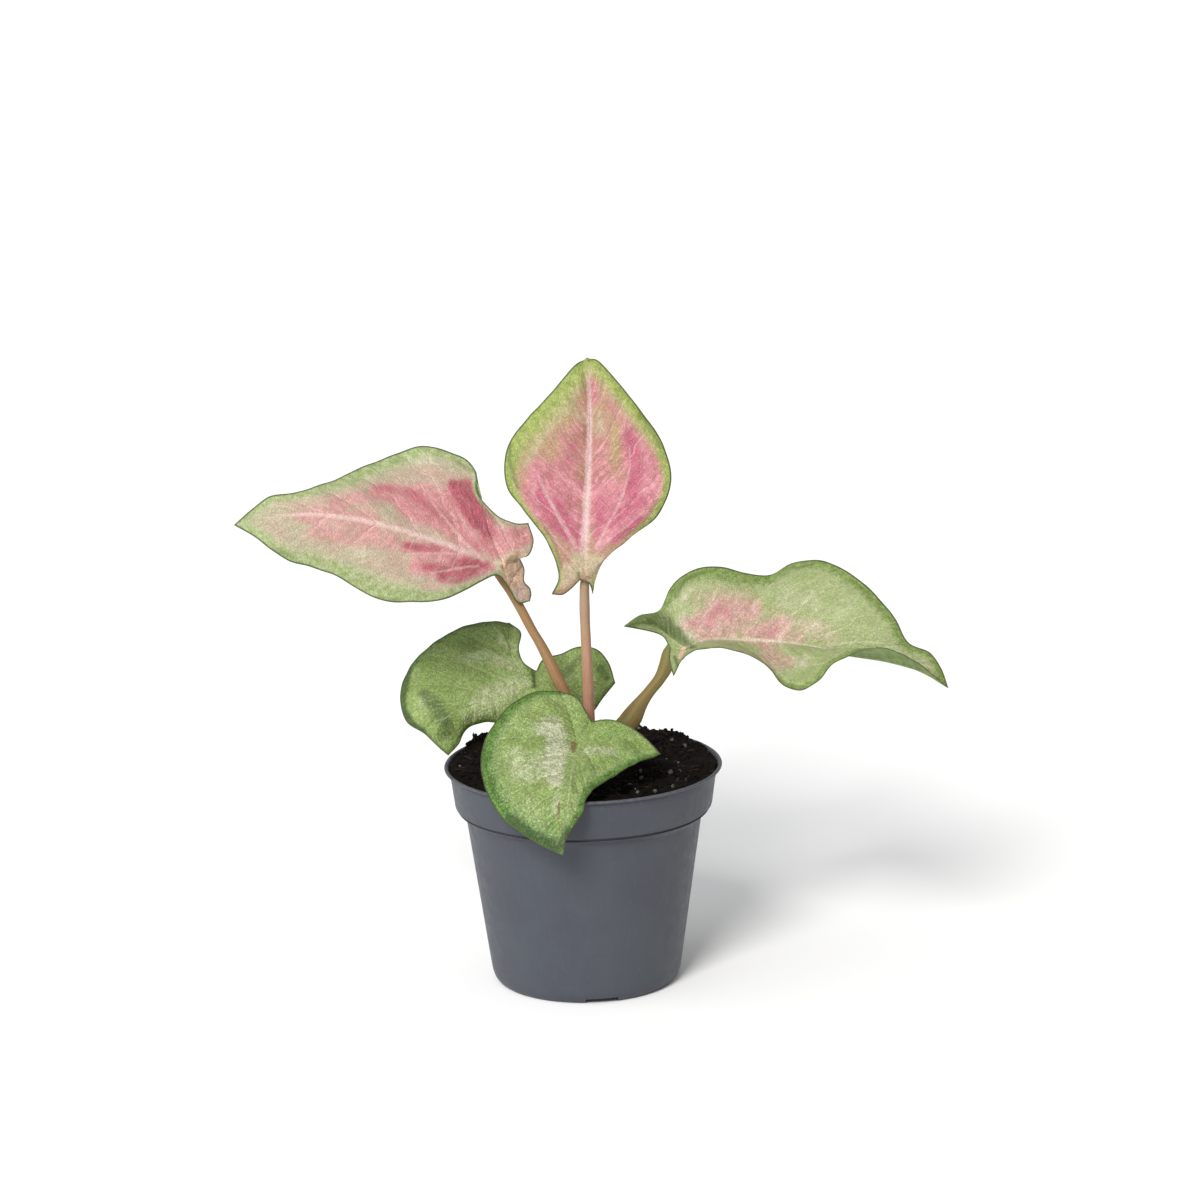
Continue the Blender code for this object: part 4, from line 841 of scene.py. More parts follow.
def stroke_shares(flat, strokes):
    """How strongly each point is covered by soft strokes, from 0 to 1. A stroke of one point is a dot."""
    share = np.zeros(len(flat))
    for strength, *stroke in strokes:
        stroke = np.array(stroke if len(stroke) > 1 else stroke + [np.add(stroke[0], (0.01, 0, 0))], float)
        away, where = nearest(flat, stroke[:, :2])
        lengths = lengths_along(stroke[:, :2])
        radius = np.interp(where * lengths[-1], lengths, stroke[:, 2])
        share = 1 - (1 - share) * (1 - strength * smooth_step(away / radius, STROKE_SPREAD, STROKE_CORE))
    return share


def leaf_margin(points, sides, lines, looks):
    """Each point's distance from the rim, its place along it, and the distance in widths of the margin."""
    rim = np.full(len(points), np.inf)
    band = np.full(len(points), FAR)
    place = np.zeros(len(points))
    for side, sign in SIDES.items():
        _, inner, edge = lines[side]
        away, where = nearest(points, edge.points[::2])
        widths = np.interp(where, np.linspace(0, 1, len(looks[side])), looks[side])
        band = np.where(sides == sign, np.minimum(band, away / widths), band)
        closer = away < rim
        place[closer] = (where + (1 - sign) * RIPPLE_APART)[closer]
        rim = np.minimum(np.minimum(rim, away), nearest(points, inner.points[::2])[0])
    return rim, place, band


def leaf_relief(flat, counts, spacings, rim, rim_place, to_rib, half_width, along_rib):
    """How far the upper and the lower face stand above the sheet at each point."""
    beside = np.abs(counts - np.round(counts))
    calm = smooth_step(rim, 0.5, 5.0) * smooth_step(to_rib, 0.5, 4.0)
    groove = np.exp(-(beside * spacings / GROOVE_WIDTH) ** 2) * calm
    quilt = (2 * beside) ** 2 * (3 - 4 * beside) * calm * np.clip(spacings / QUILT_SPACING, 0.2, 1.0)
    alive = smooth_step(1 - along_rib, 0.0, 0.12)
    raised = smooth_step(half_width * 1.2 - to_rib, 0, 1.2) * alive
    keel = smooth_step(half_width * 1.3 - to_rib, 0, 1.6) * (1 - KEEL_LOSS * along_rib) * alive
    ripple = sum(share * np.sin(rim_place * pace + start) for share, pace, start in RIPPLES)
    ripple *= RIPPLE_HEIGHT * np.exp(-rim / RIPPLE_REACH)
    ripple *= smooth_step(flat[:, 0] - flat[:, 0].min(), 3.0, 14.0)
    ripple *= smooth_step(flat[:, 0].max() - flat[:, 0], 2.0, 12.0)
    (pace_x, start_x), (pace_y, start_y) = SWELL_WAVES
    swell = np.sin(flat[:, 0] * pace_x + start_x) * np.sin(flat[:, 1] * pace_y + start_y) * calm
    middle = ripple + QUILT_HEIGHT * quilt - GROOVE_DEPTH * groove + SWELL_HEIGHT * swell
    thick = BLADE / 2 * (RIM_THICKNESS + (1 - RIM_THICKNESS) * smooth_step(rim, 0.0, 2.5))
    return middle + thick + RIB_HEIGHT * raised, middle - thick - KEEL_HEIGHT * keel - GROOVE_UNDER * groove


def make_leaf(name):
    leaf, looks = LEAVES[name], LEAF_LOOKS[name]
    table, faces, lines = leaf_sheet(leaf)
    points, flat = table[:, :3], table[:, :2]
    counts, spacings, outward, sides = table[:, 3:].T
    to_rib, along_rib = nearest(points, lines["left"][0].points[::3])
    half_width = looks["rib"][0] + (looks["rib"][1] - looks["rib"][0]) * along_rib**1.5
    rim, rim_place, band = leaf_margin(points, sides, lines, looks)
    upper, lower = leaf_relief(flat, counts, spacings, rim, rim_place, to_rib, half_width, along_rib)
    pink, deep, cream, green, dark, crease, veins, tan = (
        stroke_shares(flat, PAINT[name].get(key, ())) for key in PAINTS)

    world = np.array(leaf["attach"], float) + points @ leaf_axes(*leaf["turn"])
    normals = point_normals(world, faces)
    total = len(points)
    starts, ends = faces.ravel(), np.roll(faces, -1, axis=1).ravel()
    alone = ~np.isin(starts * total + ends, ends * total + starts)
    a, b = starts[alone], ends[alone]
    rim_faces = np.stack([a, a + total, b + total, b], -1)
    under = faces[:, ::-1] + total
    both = np.concatenate((world + normals * upper[:, None], world + normals * lower[:, None]))
    mesh = mesh_of("blade_" + name, both, faces.tolist() + under.tolist() + rim_faces.tolist())
    indices = np.repeat(np.array([0, 1, 0], np.int32), (len(faces), len(under), len(rim_faces)))
    mesh.polygons.foreach_set("material_index", indices)

    def twice(*columns):
        return [np.tile(column, 2) for column in columns]

    give_numbers(
        mesh, place=twice(*flat.T, np.zeros(total)), ribs=twice(counts, spacings, outward),
        reach=twice(rim, to_rib / half_width, band), tints=twice(pink, deep, cream),
        marks=twice(green, dark, crease), lines=twice(veins, tan, along_rib))
    materials = [leaf_face("leaf_%s_face" % name, looks), leaf_back("leaf_%s_back" % name, looks)]
    add_piece("blade_" + name, mesh, materials, "leaf_" + name)


class LeafShader(Shader):
    """One face of a blade, with the numbers of its points and the patterns that both faces share."""

    def __init__(self, name):
        super().__init__(name)
        self.flat = self.attribute("place")
        self.rim, self.rib, self.band = self.apart(self.attribute("reach"))
        self.pink, self.deep, self.cream = self.apart(self.attribute("tints"))
        self.green, self.dark, self.crease = self.apart(self.attribute("marks"))
        self.vein, self.tan, self.along = self.apart(self.attribute("lines"))
        count, spacing, outward = self.apart(self.attribute("ribs"))
        self.blotch = self.noise(self.flat, 0.07, 3, 0.55)
        self.mottle = self.noise(self.flat, 0.36, 5, 0.68)
        self.grain = self.noise(self.flat, 1.5, 3, 0.65)
        self.unrest, self.fine = self.mottle - 0.5, self.grain - 0.5
        bent = count + (self.noise(self.flat, 0.11, 2) - 0.5) * 0.4
        self.feather, self.barbs = (
            self.fan(bent * across, outward * along, self.step(spacing, 1.5, 5.0), detail)
            for across, along, detail in ((9.0, 2.6, 5), (27.0, 8.0, 3)))
        self.first, self.second = (
            self.side_veins(bent * times, self.math("DIVIDE", spacing, times), low, high)
            for times, low, high in ((1.0, 0.1, 0.8), (4.0, 0.05, 0.5)))
        moved = self.noise_bent(self.flat, 0.5, 0.9)
        self.net = self.step(self.cells(moved, 0.75), 0.02, 0.16, 1.0, 0.0)
        areoles = self.node("TexVoronoi", ["Color"], {"Vector": moved, "Scale": 0.95}, feature="F1")
        self.areole = self.node("SeparateColor", [0], [areoles])

    def fan(self, across, along, share, detail):
        """A noise that runs with the side veins, where they aren't too close."""
        where = self.node("CombineXYZ", [0], (across, along))
        return self.mix(share, [0.5, 0.5, 0.5, 1.0], self.noise(where, 1.0, detail, 0.66))

    def side_veins(self, turns, spacing, low, high):
        away = self.math("ABSOLUTE", self.math("FRACT", turns + 0.5) - 0.5)
        return self.step(away * spacing, low, high, 1.0, 0.0)

    def patch(self, share, uneven, high, top):
        return self.step(share * uneven, 0.0, high, 0.0, top)

    def wither(self, torn, creased):
        """The dried places and their creases, whose brown strokes also paint the shade in the folds."""
        self.lay(self.patch(self.tan, torn, 0.6, 0.95), self.mix(self.step(self.mottle, 0.35, 0.65), *DRIED))
        self.lay(self.patch(self.crease, creased, 0.8, 0.85), CREASE_BROWN_SHADE)

    def cure(self, height, bump, gloss_of, gloss, specular):
        self.bump(height, 0.5, bump)
        return self.finish(
            self.step(gloss_of, 0.2, 0.9, *gloss), Specular_IOR_Level=specular,
            Subsurface_Weight=0.1, Subsurface_Radius=(1.0, 1.0, 0.8), Subsurface_Scale=0.0008)


def leaf_face(name, looks):
    s = LeafShader(name)
    unrest, fine, streak, barb = s.unrest, s.fine, s.feather - 0.5, s.barbs - 0.5
    pebble, pale, margin = looks["pebble"], looks["vein"], looks["margin"]
    uneven = (unrest * (1.6 + 1.2 * pebble) + 1.0 + streak * (2.6 - 1.6 * pebble) + barb * 1.4
              + fine * (0.6 + 0.8 * pebble))
    s.colour = s.mix(s.step(s.blotch + unrest * 0.5, 0.36, 0.64), looks["base"], looks["other"])
    s.lay(s.step(s.feather, 0.45, 0.8, 0.0, 0.35), pale)
    s.lay(s.patch(s.green, uneven, 1.0, 0.8), s.mix(s.mottle, looks["base"], margin))
    # Cream zones; two thin cream strokes paint highlights
    s.lay(s.patch(s.cream, uneven, 0.9, 0.85), looks["cream"])
    if "rose" in looks:
        rose = s.mix(s.step(s.feather + unrest * 0.5, 0.34, 0.66), *looks["rose"])
        s.lay(s.patch(s.pink, uneven, 0.85, 0.95), rose)
        torn = unrest * 2.0 + 1.0 + streak * 3.2 + barb * 2.2 + fine * 0.9
        red = s.mix(s.step(s.barbs + unrest * 0.5, 0.34, 0.66), *looks["red"])
        s.lay(s.patch(s.deep, torn, 0.9, 0.92), red)
    ragged = s.band + unrest * 0.8 + streak * 0.4 + fine * 0.2
    s.lay(s.step(ragged, 0.75, 1.9, 0.6, 0.0), s.mix(0.35, margin, looks["cream"]))
    s.lay(s.step(ragged, 0.45, 1.35, 0.96, 0.0),
          s.mix(s.step(s.mottle + fine * 0.5 + barb * 0.4, 0.38, 0.64), looks["margin_other"], margin))
    rough = unrest * 1.6 + 1.0
    # Darker green patches; on the right leaf's basal lobes they paint shade
    s.lay(s.patch(s.dark, rough + fine, 0.9, 0.9), scaled(looks["margin_other"], 0.72))
    s.wither(unrest * 1.2 + 1.0, rough + fine * 0.8)
    quiet = s.step(s.rim, 0.8, 5.0)
    first = s.first * quiet * s.step(s.blotch, 0.35, 0.7)
    second = s.second * quiet * s.step(s.mottle, 0.35, 0.65)
    ridge = s.step(s.rib + fine * 0.3, 0.2, 1.6, looks["ridge"], 0.0)
    s.lay(first * 0.26, pale)
    s.lay(second * 0.2, pale)
    s.lay(s.step(s.vein + s.vein * barb * 0.8 + s.vein * fine * 0.6, 0.1, 0.9, 0.0, 0.9), pale)
    s.lay(ridge * s.step(s.along, 0.72, 0.95, 1.0, 0.0) * s.step(s.along, 0.03, 0.2), pale)
    dapple = (unrest * (0.8 + 0.3 * pebble) + 0.52 + fine * (0.5 + 0.5 * pebble) + streak * 0.4 + barb * 0.4
              + (s.areole - 0.5) * (0.4 * pebble) + s.net * (-0.25 * pebble))
    s.lay(0.2 + 0.18 * pebble, s.step(dapple, 0.0, 1.0), "OVERLAY")
    speck = s.step(s.cells(s.noise_bent(s.flat, 0.9, 0.6), 1.0, "F1") + unrest * 0.8, 0.1, 0.36, 1.0, 0.0)
    s.lay(speck * (1.0 - s.math("MAXIMUM", s.dark, s.crease)) * (0.3 * pebble), PALE_FLECK)
    s.lay(s.step(s.rim, 0.3, 1.0, 0.92, 0.0), LEAF_RIM)
    height = (s.mottle * 0.5 + first * -0.4 + second * -0.25 + s.net * (-0.25 - 0.2 * pebble) + s.grain * 0.4
              + s.barbs * 0.35 + s.vein * 0.3)
    return s.cure(height, 0.8, s.mottle + fine, (0.42, 0.6), 0.4)


def leaf_back(name, looks):
    s = LeafShader(name)
    under = looks["under"]
    pale = scaled(under, 1.14, 8)
    uneven = (s.unrest + s.fine) * 1.4 + 1.0
    s.colour = s.mix(s.step(s.blotch + s.fine * 0.5, 0.38, 0.62), under, scaled(under, 0.9))
    s.lay(s.step(s.feather, 0.4, 0.75, 0.0, 0.35), pale)
    for pattern, share in ((s.first, 0.26), (s.second, 0.16), (s.net, 0.2)):
        s.lay(pattern * share, pale)
    # Cream zones, with the two thin strokes of painted highlight
    s.lay(s.step(s.cream, 0.1, 1.0, 0.0, 0.7), looks["cream"])
    s.lay(s.patch(s.green, uneven, 0.9, 0.6), looks["margin"])
    # Darker green patches, with the painted shade on the right leaf's basal lobes
    s.lay(s.patch(s.dark, uneven, 0.9, 0.9), scaled(looks["margin_other"], 0.74))
    s.wither(uneven, uneven)
    s.lay(s.step(s.rib, 0.6, 1.3, 0.9, 0.0) * s.step(s.along, 0.9, 1.0, 1.0, 0.0), pale)
    s.lay(s.step(s.rim, 0.3, 0.9, 0.85, 0.0), LEAF_RIM)
    s.lay(0.36, s.step(s.mottle, 0.2, 0.8), "OVERLAY")
    height = s.first * 0.5 + s.second * 0.3 + s.net * 0.35 + s.grain * 0.3
    return s.cure(height, 0.7, s.mottle + s.fine, (0.5, 0.66), 0.35)


# Stalks

def closed_surface(start, rings, end):
    """Points and faces of a chain of rings that is closed by a point at each end."""
    n, last = len(rings[0]), (len(rings) - 1) * len(rings[0])
    points = np.concatenate([[start], *rings, [end]])
    faces = []
    for k in range(1, n + 1):
        m = k % n + 1
        faces += [(0, m, k), (len(points) - 1, last + k, last + m)]
        faces += [(a + k, a + m, a + n + m, a + n + k) for a in range(0, last, n)]
    return points, faces


def tube(centre, radii, turns, turn_shape):
    """Rings around the centre line; turn_shape gives each ring's radius factors."""
    tangents = np.gradient(centre, axis=0)
    tangents /= np.linalg.norm(tangents, axis=1)[:, None]
    side = np.cross(tangents[0], (0.0, 1.0, 0.0))
    rings = []
    for i, (point, tangent, radius) in enumerate(zip(centre, tangents, radii)):
        side = side - tangent * (side @ tangent)
        side /= np.linalg.norm(side)
        reach = radius * turn_shape(i)
        rings.append(point + np.outer(np.cos(turns) * reach, side)
                     + np.outer(np.sin(turns) * reach, np.cross(tangent, side)))
    return rings


def make_stalk(name, seed):
    above_ground, foot = STALKS[name]["line"], STALKS[name]["foot"]
    rng = np.random.default_rng(seed)
    end = float(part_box("petiole_" + name)[0][2]) / MM
    knots = [LEAVES[name]["attach"]] + [point[:3] for point in above_ground]
    knots += [(*foot, z) for z in (STALK_TURN_DOWN, (STALK_TURN_DOWN + end) / 2, end)]
    knot_radii = [above_ground[0][3] * 1.1] + [point[3] for point in above_ground] + [above_ground[-1][3]] * 3
    line = Line(knots)
    surface = line.knots[-3]
    stations = np.linspace(0, line.length, STALK_STATIONS)
    radii = np.pad(np.interp(stations, line.knots, knot_radii), STALK_SMOOTHING // 2, mode="edge")
    radii = np.convolve(radii, np.ones(STALK_SMOOTHING) / STALK_SMOOTHING, mode="valid")
    radii *= 1 + sum(share * np.sin(stations * pace + rng.uniform(0, 6)) for share, pace in STALK_WAVES)
    sheath = smooth_step(stations - surface, -SHEATH_ABOVE, SHEATH_BELOW)
    starts = rng.uniform(0, 2 * math.pi, 3)
    turns = np.linspace(0, 2 * math.pi, STALK_SIDES, endpoint=False)
    (low, few), (lower, many) = STALK_RIDGES
    ridges = 1 + low * np.cos(few * turns + starts[0])
    groove = SHEATH_GROOVE * np.exp(-(np.angle(np.exp(1j * (turns - starts[2]))) / SHEATH_WIDTH) ** 2)

    def turn_shape(i):
        twisted = lower * np.cos(many * turns + starts[1] + STALK_TWIST * stations[i])
        return ridges + twisted - sheath[i] * groove

    centre = line.at(stations)
    rings = tube(centre, radii, turns, turn_shape)
    mesh = mesh_of("stalk_" + name, *closed_surface(centre[0], rings, centre[-1]))
    length = np.concatenate(([0.0], np.repeat(stations, STALK_SIDES), [line.length]))
    around = np.concatenate(([0.0], np.tile(turns, STALK_STATIONS), [0.0]))
    give_numbers(mesh, run=(length / surface, length, np.zeros(len(length))),
                 wrap=(np.cos(around) * 4, np.sin(around) * 4, length))
    look = stalk_look("stalk_%s_skin" % name, *STALK_COLOURS[name])
    add_piece("stalk_" + name, mesh, [look], "petiole_" + name)


def stalk_look(name, top, middle, low, fleck):
    s = Shader(name)
    run = s.apart(s.attribute("run"))[0]
    wrap = s.attribute("wrap")
    streak = s.noise(s.stretched(wrap, (1.0, 1.0, 0.05)), 0.9, 3, 0.6)
    mottle = s.noise(s.stretched(wrap, (1.0, 1.0, 0.5)), 0.5, 4, 0.6)
    shifted = run + (s.noise(s.stretched(wrap, (0.6, 0.6, 0.3)), 0.16, 2) - 0.5) * 0.5
    s.colour = s.mix(s.step(shifted, 0.05, 0.45), top, middle)
    s.lay(s.step(shifted, 0.45, 0.95), low)
    s.lay(s.step(streak, 0.35, 0.7, 0.0, 0.5), fleck)
    dots = s.cells(s.stretched(wrap, (1.0, 1.0, 0.4)), 1.6, "F1") + mottle * 0.5
    s.lay(s.step(dots, 0.34, 0.5, 1.0, 0.0) * 0.45, scaled(low, 0.62))
    s.lay(s.step(mottle, 0.5, 0.8, 0.0, 0.25), scaled(fleck, 1.15))
    s.bump(streak * 0.8 + mottle * 0.4, 0.3, 0.6)
    return s.finish(s.step(mottle, 0.3, 0.8, 0.5, 0.72), Subsurface_Weight=0.08, Subsurface_Scale=0.0015,
                    Specular_IOR_Level=0.25)


# Soil

def soil_waves():
    rng = np.random.default_rng(SOIL_SEED)
    return [(*rng.uniform(-SOIL_WAVE_NUMBER, SOIL_WAVE_NUMBER, 2), rng.uniform(0, 2 * math.pi),
             rng.uniform(0.4, 1.0)) for _ in range(SOIL_WAVES)]


def soil_level(x, y, waves):
    level = SOIL_FRONT + SOIL_RISE * smooth_step(y, SOIL_RISE_FROM, SOIL_RISE_TO)
    for cx, cy, radius, tall in SOIL_MOUNDS:
        level = level + tall * np.exp(-((x - cx) ** 2 + (y - cy) ** 2) / radius**2)
    for kx, ky, start, share in waves:
        level = level + SOIL_WAVE * share * np.sin(kx * x + ky * y + start)
    out = np.clip((np.hypot(x, y) - SOIL_EDGE_FROM) / SOIL_EDGE_OVER, 0.0, 1.0)
    return level + (np.minimum(SOIL_EDGE, level) - level) * out * out


def wall_radius(z):
    radii, heights = zip(*POT_INSIDE)
    return np.interp(z, heights, radii)


def lumpy_level(x, y, waves, lumps):
    """The soil's height with its clods on it."""
    x, y = np.asarray(x), np.asarray(y)
    rise = np.zeros(x.shape)
    for cx, cy, radius, tall in lumps:
        away = ((x - cx) ** 2 + (y - cy) ** 2) / radius**2
        rise = np.maximum(rise, tall * np.sqrt(np.clip(1 - away, 0, 1)))
    return soil_level(x, y, waves) + rise - SOIL_SINK


def random_place(rng, reach):
    """A turn, and the point at that turn somewhere within reach of the pot's axis."""
    turn, out = rng.uniform(0, 2 * math.pi), reach * math.sqrt(rng.uniform(0, 1))
    return turn, out * math.cos(turn), out * math.sin(turn)


def make_soil():
    waves = soil_waves()
    rng = np.random.default_rng(SOIL_SEED + 1)
    lumps = []
    for _ in range(SOIL_LUMPS):
        _, x, y = random_place(rng, SOIL_LUMP_REACH)
        radius = rng.uniform(*SOIL_LUMP_RADII)
        lumps.append((x, y, radius, radius * rng.uniform(*SOIL_LUMP_HEIGHTS)))
    turns = np.linspace(0, 2 * math.pi, SOIL_SPOKES, endpoint=False)
    across, along = np.cos(turns), np.sin(turns)
    far = SOIL_EDGE_FROM + SOIL_EDGE_OVER
    brim = wall_radius(soil_level(far * across, far * along, waves)) - SOIL_GAP
    shares = np.linspace(0, 1, SOIL_RINGS)[1:, None]
    jitter = rng.uniform(-SOIL_JITTER, SOIL_JITTER, (len(shares), SOIL_SPOKES)) * (shares < 1)
    reach = shares * brim + jitter
    x, y = reach * across, reach * along
    z = lumpy_level(x, y, waves, lumps) + rng.normal(0, SOIL_GRAIN, x.shape)
    rings = list(np.stack([x, y, z], axis=-1))
    floor_z = float(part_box("soil")[0][2]) / MM
    edge_z = np.minimum(z[-1], POT_INSIDE[-1][1])
    walls = [height for _, height in POT_INSIDE[-2::-1] if height > floor_z] + [floor_z]
    for count, height in enumerate(walls, 1):
        ring_z = np.minimum(edge_z - SOIL_WALL_STEP * count, height)
        ring_r = wall_radius(ring_z) - SOIL_GAP
        rings.append(np.stack([ring_r * across, ring_r * along, ring_z], axis=-1))
    top = (0.0, 0.0, float(lumpy_level(0.0, 0.0, waves, lumps)))
    points, faces = closed_surface((0.0, 0.0, floor_z), rings[::-1], top)
    # A face's first corner decides the diagonal along which an uneven quad is split.
    mesh = mesh_of("potting_soil", points, [face[-1:] + face[:-1] for face in faces])
    add_piece("potting_soil", mesh, [soil_look("soil_dark")], "soil")
    for name, look, bits in (
            ("soil_crumbs", soil_look("soil_crumb"), CRUMBS), ("perlite", perlite_look(), PERLITE),
            ("bark_fibres", bark_look(), FIBRES)):
        mesh = mesh_of(name, *scattered(rng, waves, lumps, *bits))
        add_piece(name, mesh, [look], smooth=False)


def scattered(rng, waves, lumps, count, radii, lift, cuts, stretch, seen):
    """Points and faces of many small bits lying on the soil, the first of them at the places seen."""
    work = bmesh.new()
    bmesh.ops.create_icosphere(work, subdivisions=cuts, radius=1.0)
    shape = np.array([vertex.co[:] for vertex in work.verts])
    shape_faces = np.array([[vertex.index for vertex in face.verts] for face in work.faces])
    work.free()
    points, faces = [], []
    for k in range(count):
        turn, x, y = random_place(rng, BIT_REACH)
        x, y = seen[k] if k < len(seen) else (x, y)
        if any(math.dist((x, y), stalk["foot"]) < BIT_CLEAR for stalk in STALKS.values()):
            continue
        radius = radii[1] if k < len(seen) else rng.uniform(*radii)
        z = float(lumpy_level(x, y, waves, lumps)) + radius * lift * stretch[2]
        bit = shape * rng.uniform(*BIT_UNEVEN, (len(shape), 1)) * stretch * rng.uniform(*BIT_SQUASH, 3)
        spin = np.linalg.qr(rng.normal(size=(3, 3)))[0]
        spin *= np.sign(np.linalg.det(spin))
        if stretch[0] > 1:
            c, w, tilt = math.cos(turn * 3), math.sin(turn * 3), rng.uniform(-BIT_TILT, BIT_TILT)
            spin = np.array([(c, -w, 0), (w, c, 0), (tilt, 0, 1)])
        faces += (shape_faces + len(shape) * len(points)).tolist()
        points.append(bit @ spin.T * radius + (x, y, z))
    return np.concatenate(points), faces


def soil_look(name):
    s = Shader(name)
    place = s.place()
    clods, grain = s.noise(place, 0.5, 5, 0.65), s.noise(place, 3.2, 3, 0.7)
    s.colour = s.mix(s.step(clods, 0.38, 0.66), (10, 7, 6), (27, 20, 14))
    s.lay(s.step(grain, 0.62, 0.8, 0.0, 0.5), (52, 38, 27))
    s.bump(clods + grain * 0.45, 0.9, 0.9)
    return s.finish(s.step(clods + grain * 0.4, 0.5, 0.95, 0.66, 0.95), Specular_IOR_Level=0.12)


def perlite_look():
    s = Shader("perlite_white")
    place = s.place()
    holes, dirt = s.noise(place, 2.4, 3, 0.6), s.noise(place, 0.9, 3, 0.6)
    s.colour = s.mix(s.step(dirt, 0.35, 0.75), (128, 120, 110), (74, 64, 54))
    s.lay(s.step(holes, 0.55, 0.75, 0.0, 0.5), (70, 60, 50))
    s.bump(holes, 0.3, 0.8)
    return s.finish(s.step(holes, 0.3, 0.8, 0.75, 0.95), Specular_IOR_Level=0.3)


def bark_look():
    s = Shader("bark_brown")
    streak = s.noise(s.stretched(s.place(), (0.4, 1.6, 1.6)), 2.0, 3, 0.6)
    s.colour = s.mix(s.step(streak, 0.35, 0.7), (52, 37, 25), (24, 18, 13))
    s.bump(streak, 0.3, 0.8)
    return s.finish(s.step(streak, 0.3, 0.8, 0.7, 0.95), Specular_IOR_Level=0.25)


# Pot

def rounded(profile, reach):
    """The profile with its corners eased, except its two ends."""
    made = [profile[0]]
    for corner in zip(profile, profile[1:], profile[2:]):
        before, here, after = np.array(corner, float)
        a, b = (here + way * min(reach / np.linalg.norm(way), 0.33) for way in (before - here, after - here))
        made += [a, (a + b + 2 * here) / 4, b]
    return made + [profile[-1]]


def cutter(outline, low, high):
    """An upright prism to be cut out of the pot."""
    n = len(outline)
    points = [(*corner, z) for z in (low, high) for corner in outline]
    sides = [(k, (k + 1) % n, n + (k + 1) % n, n + k) for k in range(n)]
    ends = [tuple(range(n))[::-1], tuple(range(n, 2 * n))]
    return linked("cutter", mesh_of("cutter", points, ends + sides))


def pot_cutters():
    """The notches of the foot ring and the drain holes between them."""
    for k in range(NOTCH_COUNT):
        around = math.radians(NOTCH_TURN + 360.0 * k / NOTCH_COUNT)
        c, s = math.cos(around), math.sin(around)
        near, far, half = FOOT_INNER - 3.0, FOOT_OUTER + 6.0, NOTCH_WIDTH / 2
        corners = (near, -half), (far, -half), (far, half), (near, half)
        yield cutter([(x * c - y * s, x * s + y * c) for x, y in corners], -1.0, NOTCH_HEIGHT)
        around += math.pi / NOTCH_COUNT
        x, y = DRAIN_CIRCLE * math.cos(around), DRAIN_CIRCLE * math.sin(around)
        turns = [2 * math.pi * side / DRAIN_SIDES for side in range(DRAIN_SIDES)]
        circle = [(x + DRAIN_RADIUS * math.cos(t), y + DRAIN_RADIUS * math.sin(t)) for t in turns]
        yield cutter(circle, 1.0, FLOOR_TOP + 2.0)


def make_pot():
    underside = [(FOOT_INNER, 0.0), (FOOT_INNER - 0.3, FLOOR_UNDER), (PAD_RADIUS + 0.2, FLOOR_UNDER)]
    pad = [(PAD_RADIUS, 0.0), (0.0, 0.0)]
    profile = rounded([(0.0, FLOOR_TOP)] + POT_INSIDE + POT_OUTSIDE + underside + pad, POT_EASING)
    edges = [(k, k + 1) for k in range(len(profile) - 1)]
    rough = linked("pot_rough", mesh_of("pot_profile", [(r, 0.0, z) for r, z in profile], [], edges))
    turn = rough.modifiers.new("turn", "SCREW")
    turn.axis = "Z"
    turn.steps = turn.render_steps = POT_STEPS
    turn.use_merge_vertices = True
    turn.merge_threshold = 0.00001
    cutters = list(pot_cutters())
    for thing in cutters:
        cut = rough.modifiers.new("cut", "BOOLEAN")
        cut.operation = "DIFFERENCE"
        cut.solver = "EXACT"
        cut.object = thing
    bpy.context.view_layer.update()
    mesh = bpy.data.meshes.new_from_object(rough.evaluated_get(bpy.context.evaluated_depsgraph_get()))
    work = bmesh.new()
    work.from_mesh(mesh)
    bmesh.ops.recalc_face_normals(work, faces=work.faces)
    work.to_mesh(mesh)
    work.free()
    for thing in [rough] + cutters:
        bpy.data.objects.remove(thing, do_unlink=True)
    mesh.name = "grower_pot"
    mesh.materials.clear()
    add_piece("grower_pot", mesh, [pot_look()], "pot")
    mesh.set_sharp_from_angle(angle=math.radians(POT_SHARP))


def pot_look():
    s = Shader("pot_plastic")
    place = s.place()
    height = s.apart(place)[2]
    broad = s.noise(place, 0.03, 3)
    cloud = s.noise(place, 0.2, 4, 0.6)
    grain = s.noise(place, 4.0, 2, 0.6)
    drawn = s.noise(s.stretched(place, (1.0, 1.0, 0.04)), 0.7, 3, 0.6)
    s.colour = s.mix(s.step(broad, 0.35, 0.65), (68, 72, 82), (73, 78, 87))
    s.lay(s.step(cloud, 0.4, 0.75, 0.0, 0.35), (82, 86, 95))
    s.lay(s.step(drawn, 0.45, 0.8, 0.0, 0.18), (90, 94, 101))
    # Lighter grey scuffs toward the lip: partly wear, partly a painted highlight along the lip
    lip_wear_highlight = s.step(height * 0.05 + s.noise(place, 0.6, 4, 0.7), 5.12, 5.5)
    s.lay(lip_wear_highlight * 0.45, (122, 122, 126))
    dust = s.step(s.cells(place, 0.55, "F1") + cloud * 0.8, 0.42, 0.5, 1.0, 0.0)
    s.lay(dust * 0.3, (112, 110, 104))
    # Painted shade: dark lines under the lip bead and under the collar step
    for level in POT_SHADE_LINES:
        s.lay(s.step(s.math("ABSOLUTE", height - level) + cloud * 0.3, 0.35, 0.95, 0.6, 0.0), (44, 45, 48))
    s.lay(s.step(height + cloud * 6.0, 3.0, 9.0, 0.35, 0.0), (58, 60, 66))
    s.bump(grain * 0.4 + drawn * 0.35 + cloud * 0.5, 0.12, 0.6)
    return s.finish(s.step(cloud + grain * 0.3, 0.35, 0.95, 0.42, 0.6), Specular_IOR_Level=0.45)


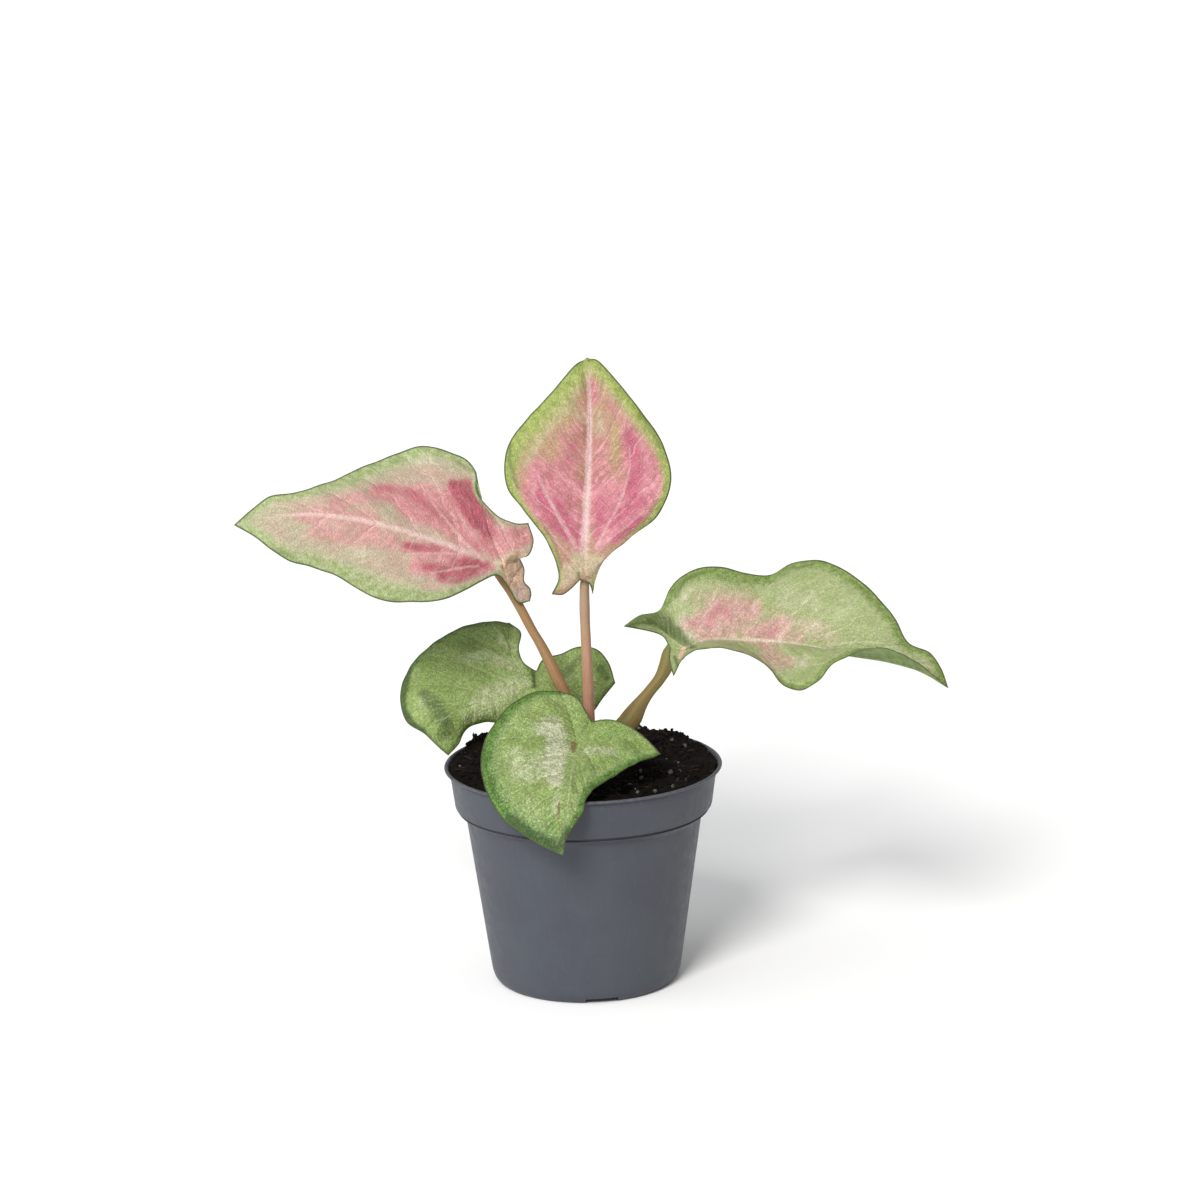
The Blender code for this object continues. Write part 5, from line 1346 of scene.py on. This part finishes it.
def dress_tuber():
    s = Shader("tuber_skin")
    place = s.place()
    rings, scales = s.noise(s.stretched(place, (0.3, 0.3, 1.6)), 0.5, 4, 0.6), s.cells(place, 0.4)
    s.colour = s.mix(s.step(rings, 0.35, 0.7), (112, 82, 54), (70, 50, 34))
    s.lay(s.step(scales, 0.0, 0.12, 0.6, 0.0), (48, 34, 24))
    s.bump(rings + scales, 0.8, 0.8)
    look = s.finish(s.step(rings, 0.3, 0.7, 0.75, 0.92), Specular_IOR_Level=0.3)
    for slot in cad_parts["tuber"].material_slots:
        slot.material = look


# Camera, floor and lights

def make_camera():
    e, r = math.radians(CAMERA_PITCH), math.radians(CAMERA_ROLL)
    ahead = np.array([0, math.cos(e), -math.sin(e)])
    level, upright = np.array([1.0, 0, 0]), np.array([0, math.sin(e), math.cos(e)])
    right = level * math.cos(r) + upright * math.sin(r)
    up = upright * math.cos(r) - level * math.sin(r)
    place = (np.array(CAMERA_AIM) - ahead * CAMERA_DISTANCE) * MM
    data = bpy.data.cameras.new("camera")
    data.sensor_width = CAMERA_SENSOR
    data.lens = CAMERA_LENS
    data.clip_start = 0.05
    data.clip_end = 60.0
    camera = linked("camera", data)
    camera.matrix_world = Matrix([*np.stack([right, up, -ahead, place], axis=-1).tolist(), [0, 0, 0, 1]])
    bpy.context.scene.camera = camera


def make_stage():
    s = Shader("studio_floor")
    cloud = s.noise(s.node("TexCoord", ["Object"], []), 1.3, 2)
    s.colour = s.mix(cloud, *FLOOR_TONES)
    half = FLOOR_METRES / MM / 2
    corners = [(-half, -half, 0), (half, -half, 0), (half, half, 0), (-half, half, 0)]
    mesh = mesh_of("floor", corners, [(0, 1, 2, 3)])
    mesh.materials.append(s.finish(s.step(cloud, 0.2, 0.8, 0.85, 0.9), Specular_IOR_Level=0.1))
    linked("floor", mesh)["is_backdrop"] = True
    world = bpy.data.worlds.new("studio")
    world.use_nodes = True
    world.node_tree.nodes["Background"].inputs["Color"].default_value = (1.0, 1.0, 1.0, 1.0)
    world.node_tree.nodes["Background"].inputs["Strength"].default_value = WORLD_LIGHT
    bpy.context.scene.world = world
    for name, (place, angle, strength, colour) in SUNS.items():
        data = bpy.data.lights.new(name, "SUN")
        data.angle = math.radians(angle)
        data.energy = strength
        data.color = colour
        light = linked(name, data)
        light.location = place
        light.rotation_euler = Vector(place).to_track_quat("Z", "Y").to_euler()
    bpy.context.scene.view_settings.view_transform = "Standard"


make_camera()
make_stage()
make_pot()
make_soil()
dress_tuber()
for number, stalk_name in enumerate(STALKS):
    make_stalk(stalk_name, STALK_SEED + number)
for leaf_name in LEAVES:
    make_leaf(leaf_name)

visual_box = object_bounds()
boxes = {"cad": cad_box, "visual": visual_box}
{label: [list(corner) for corner in box] for label, box in boxes.items()}
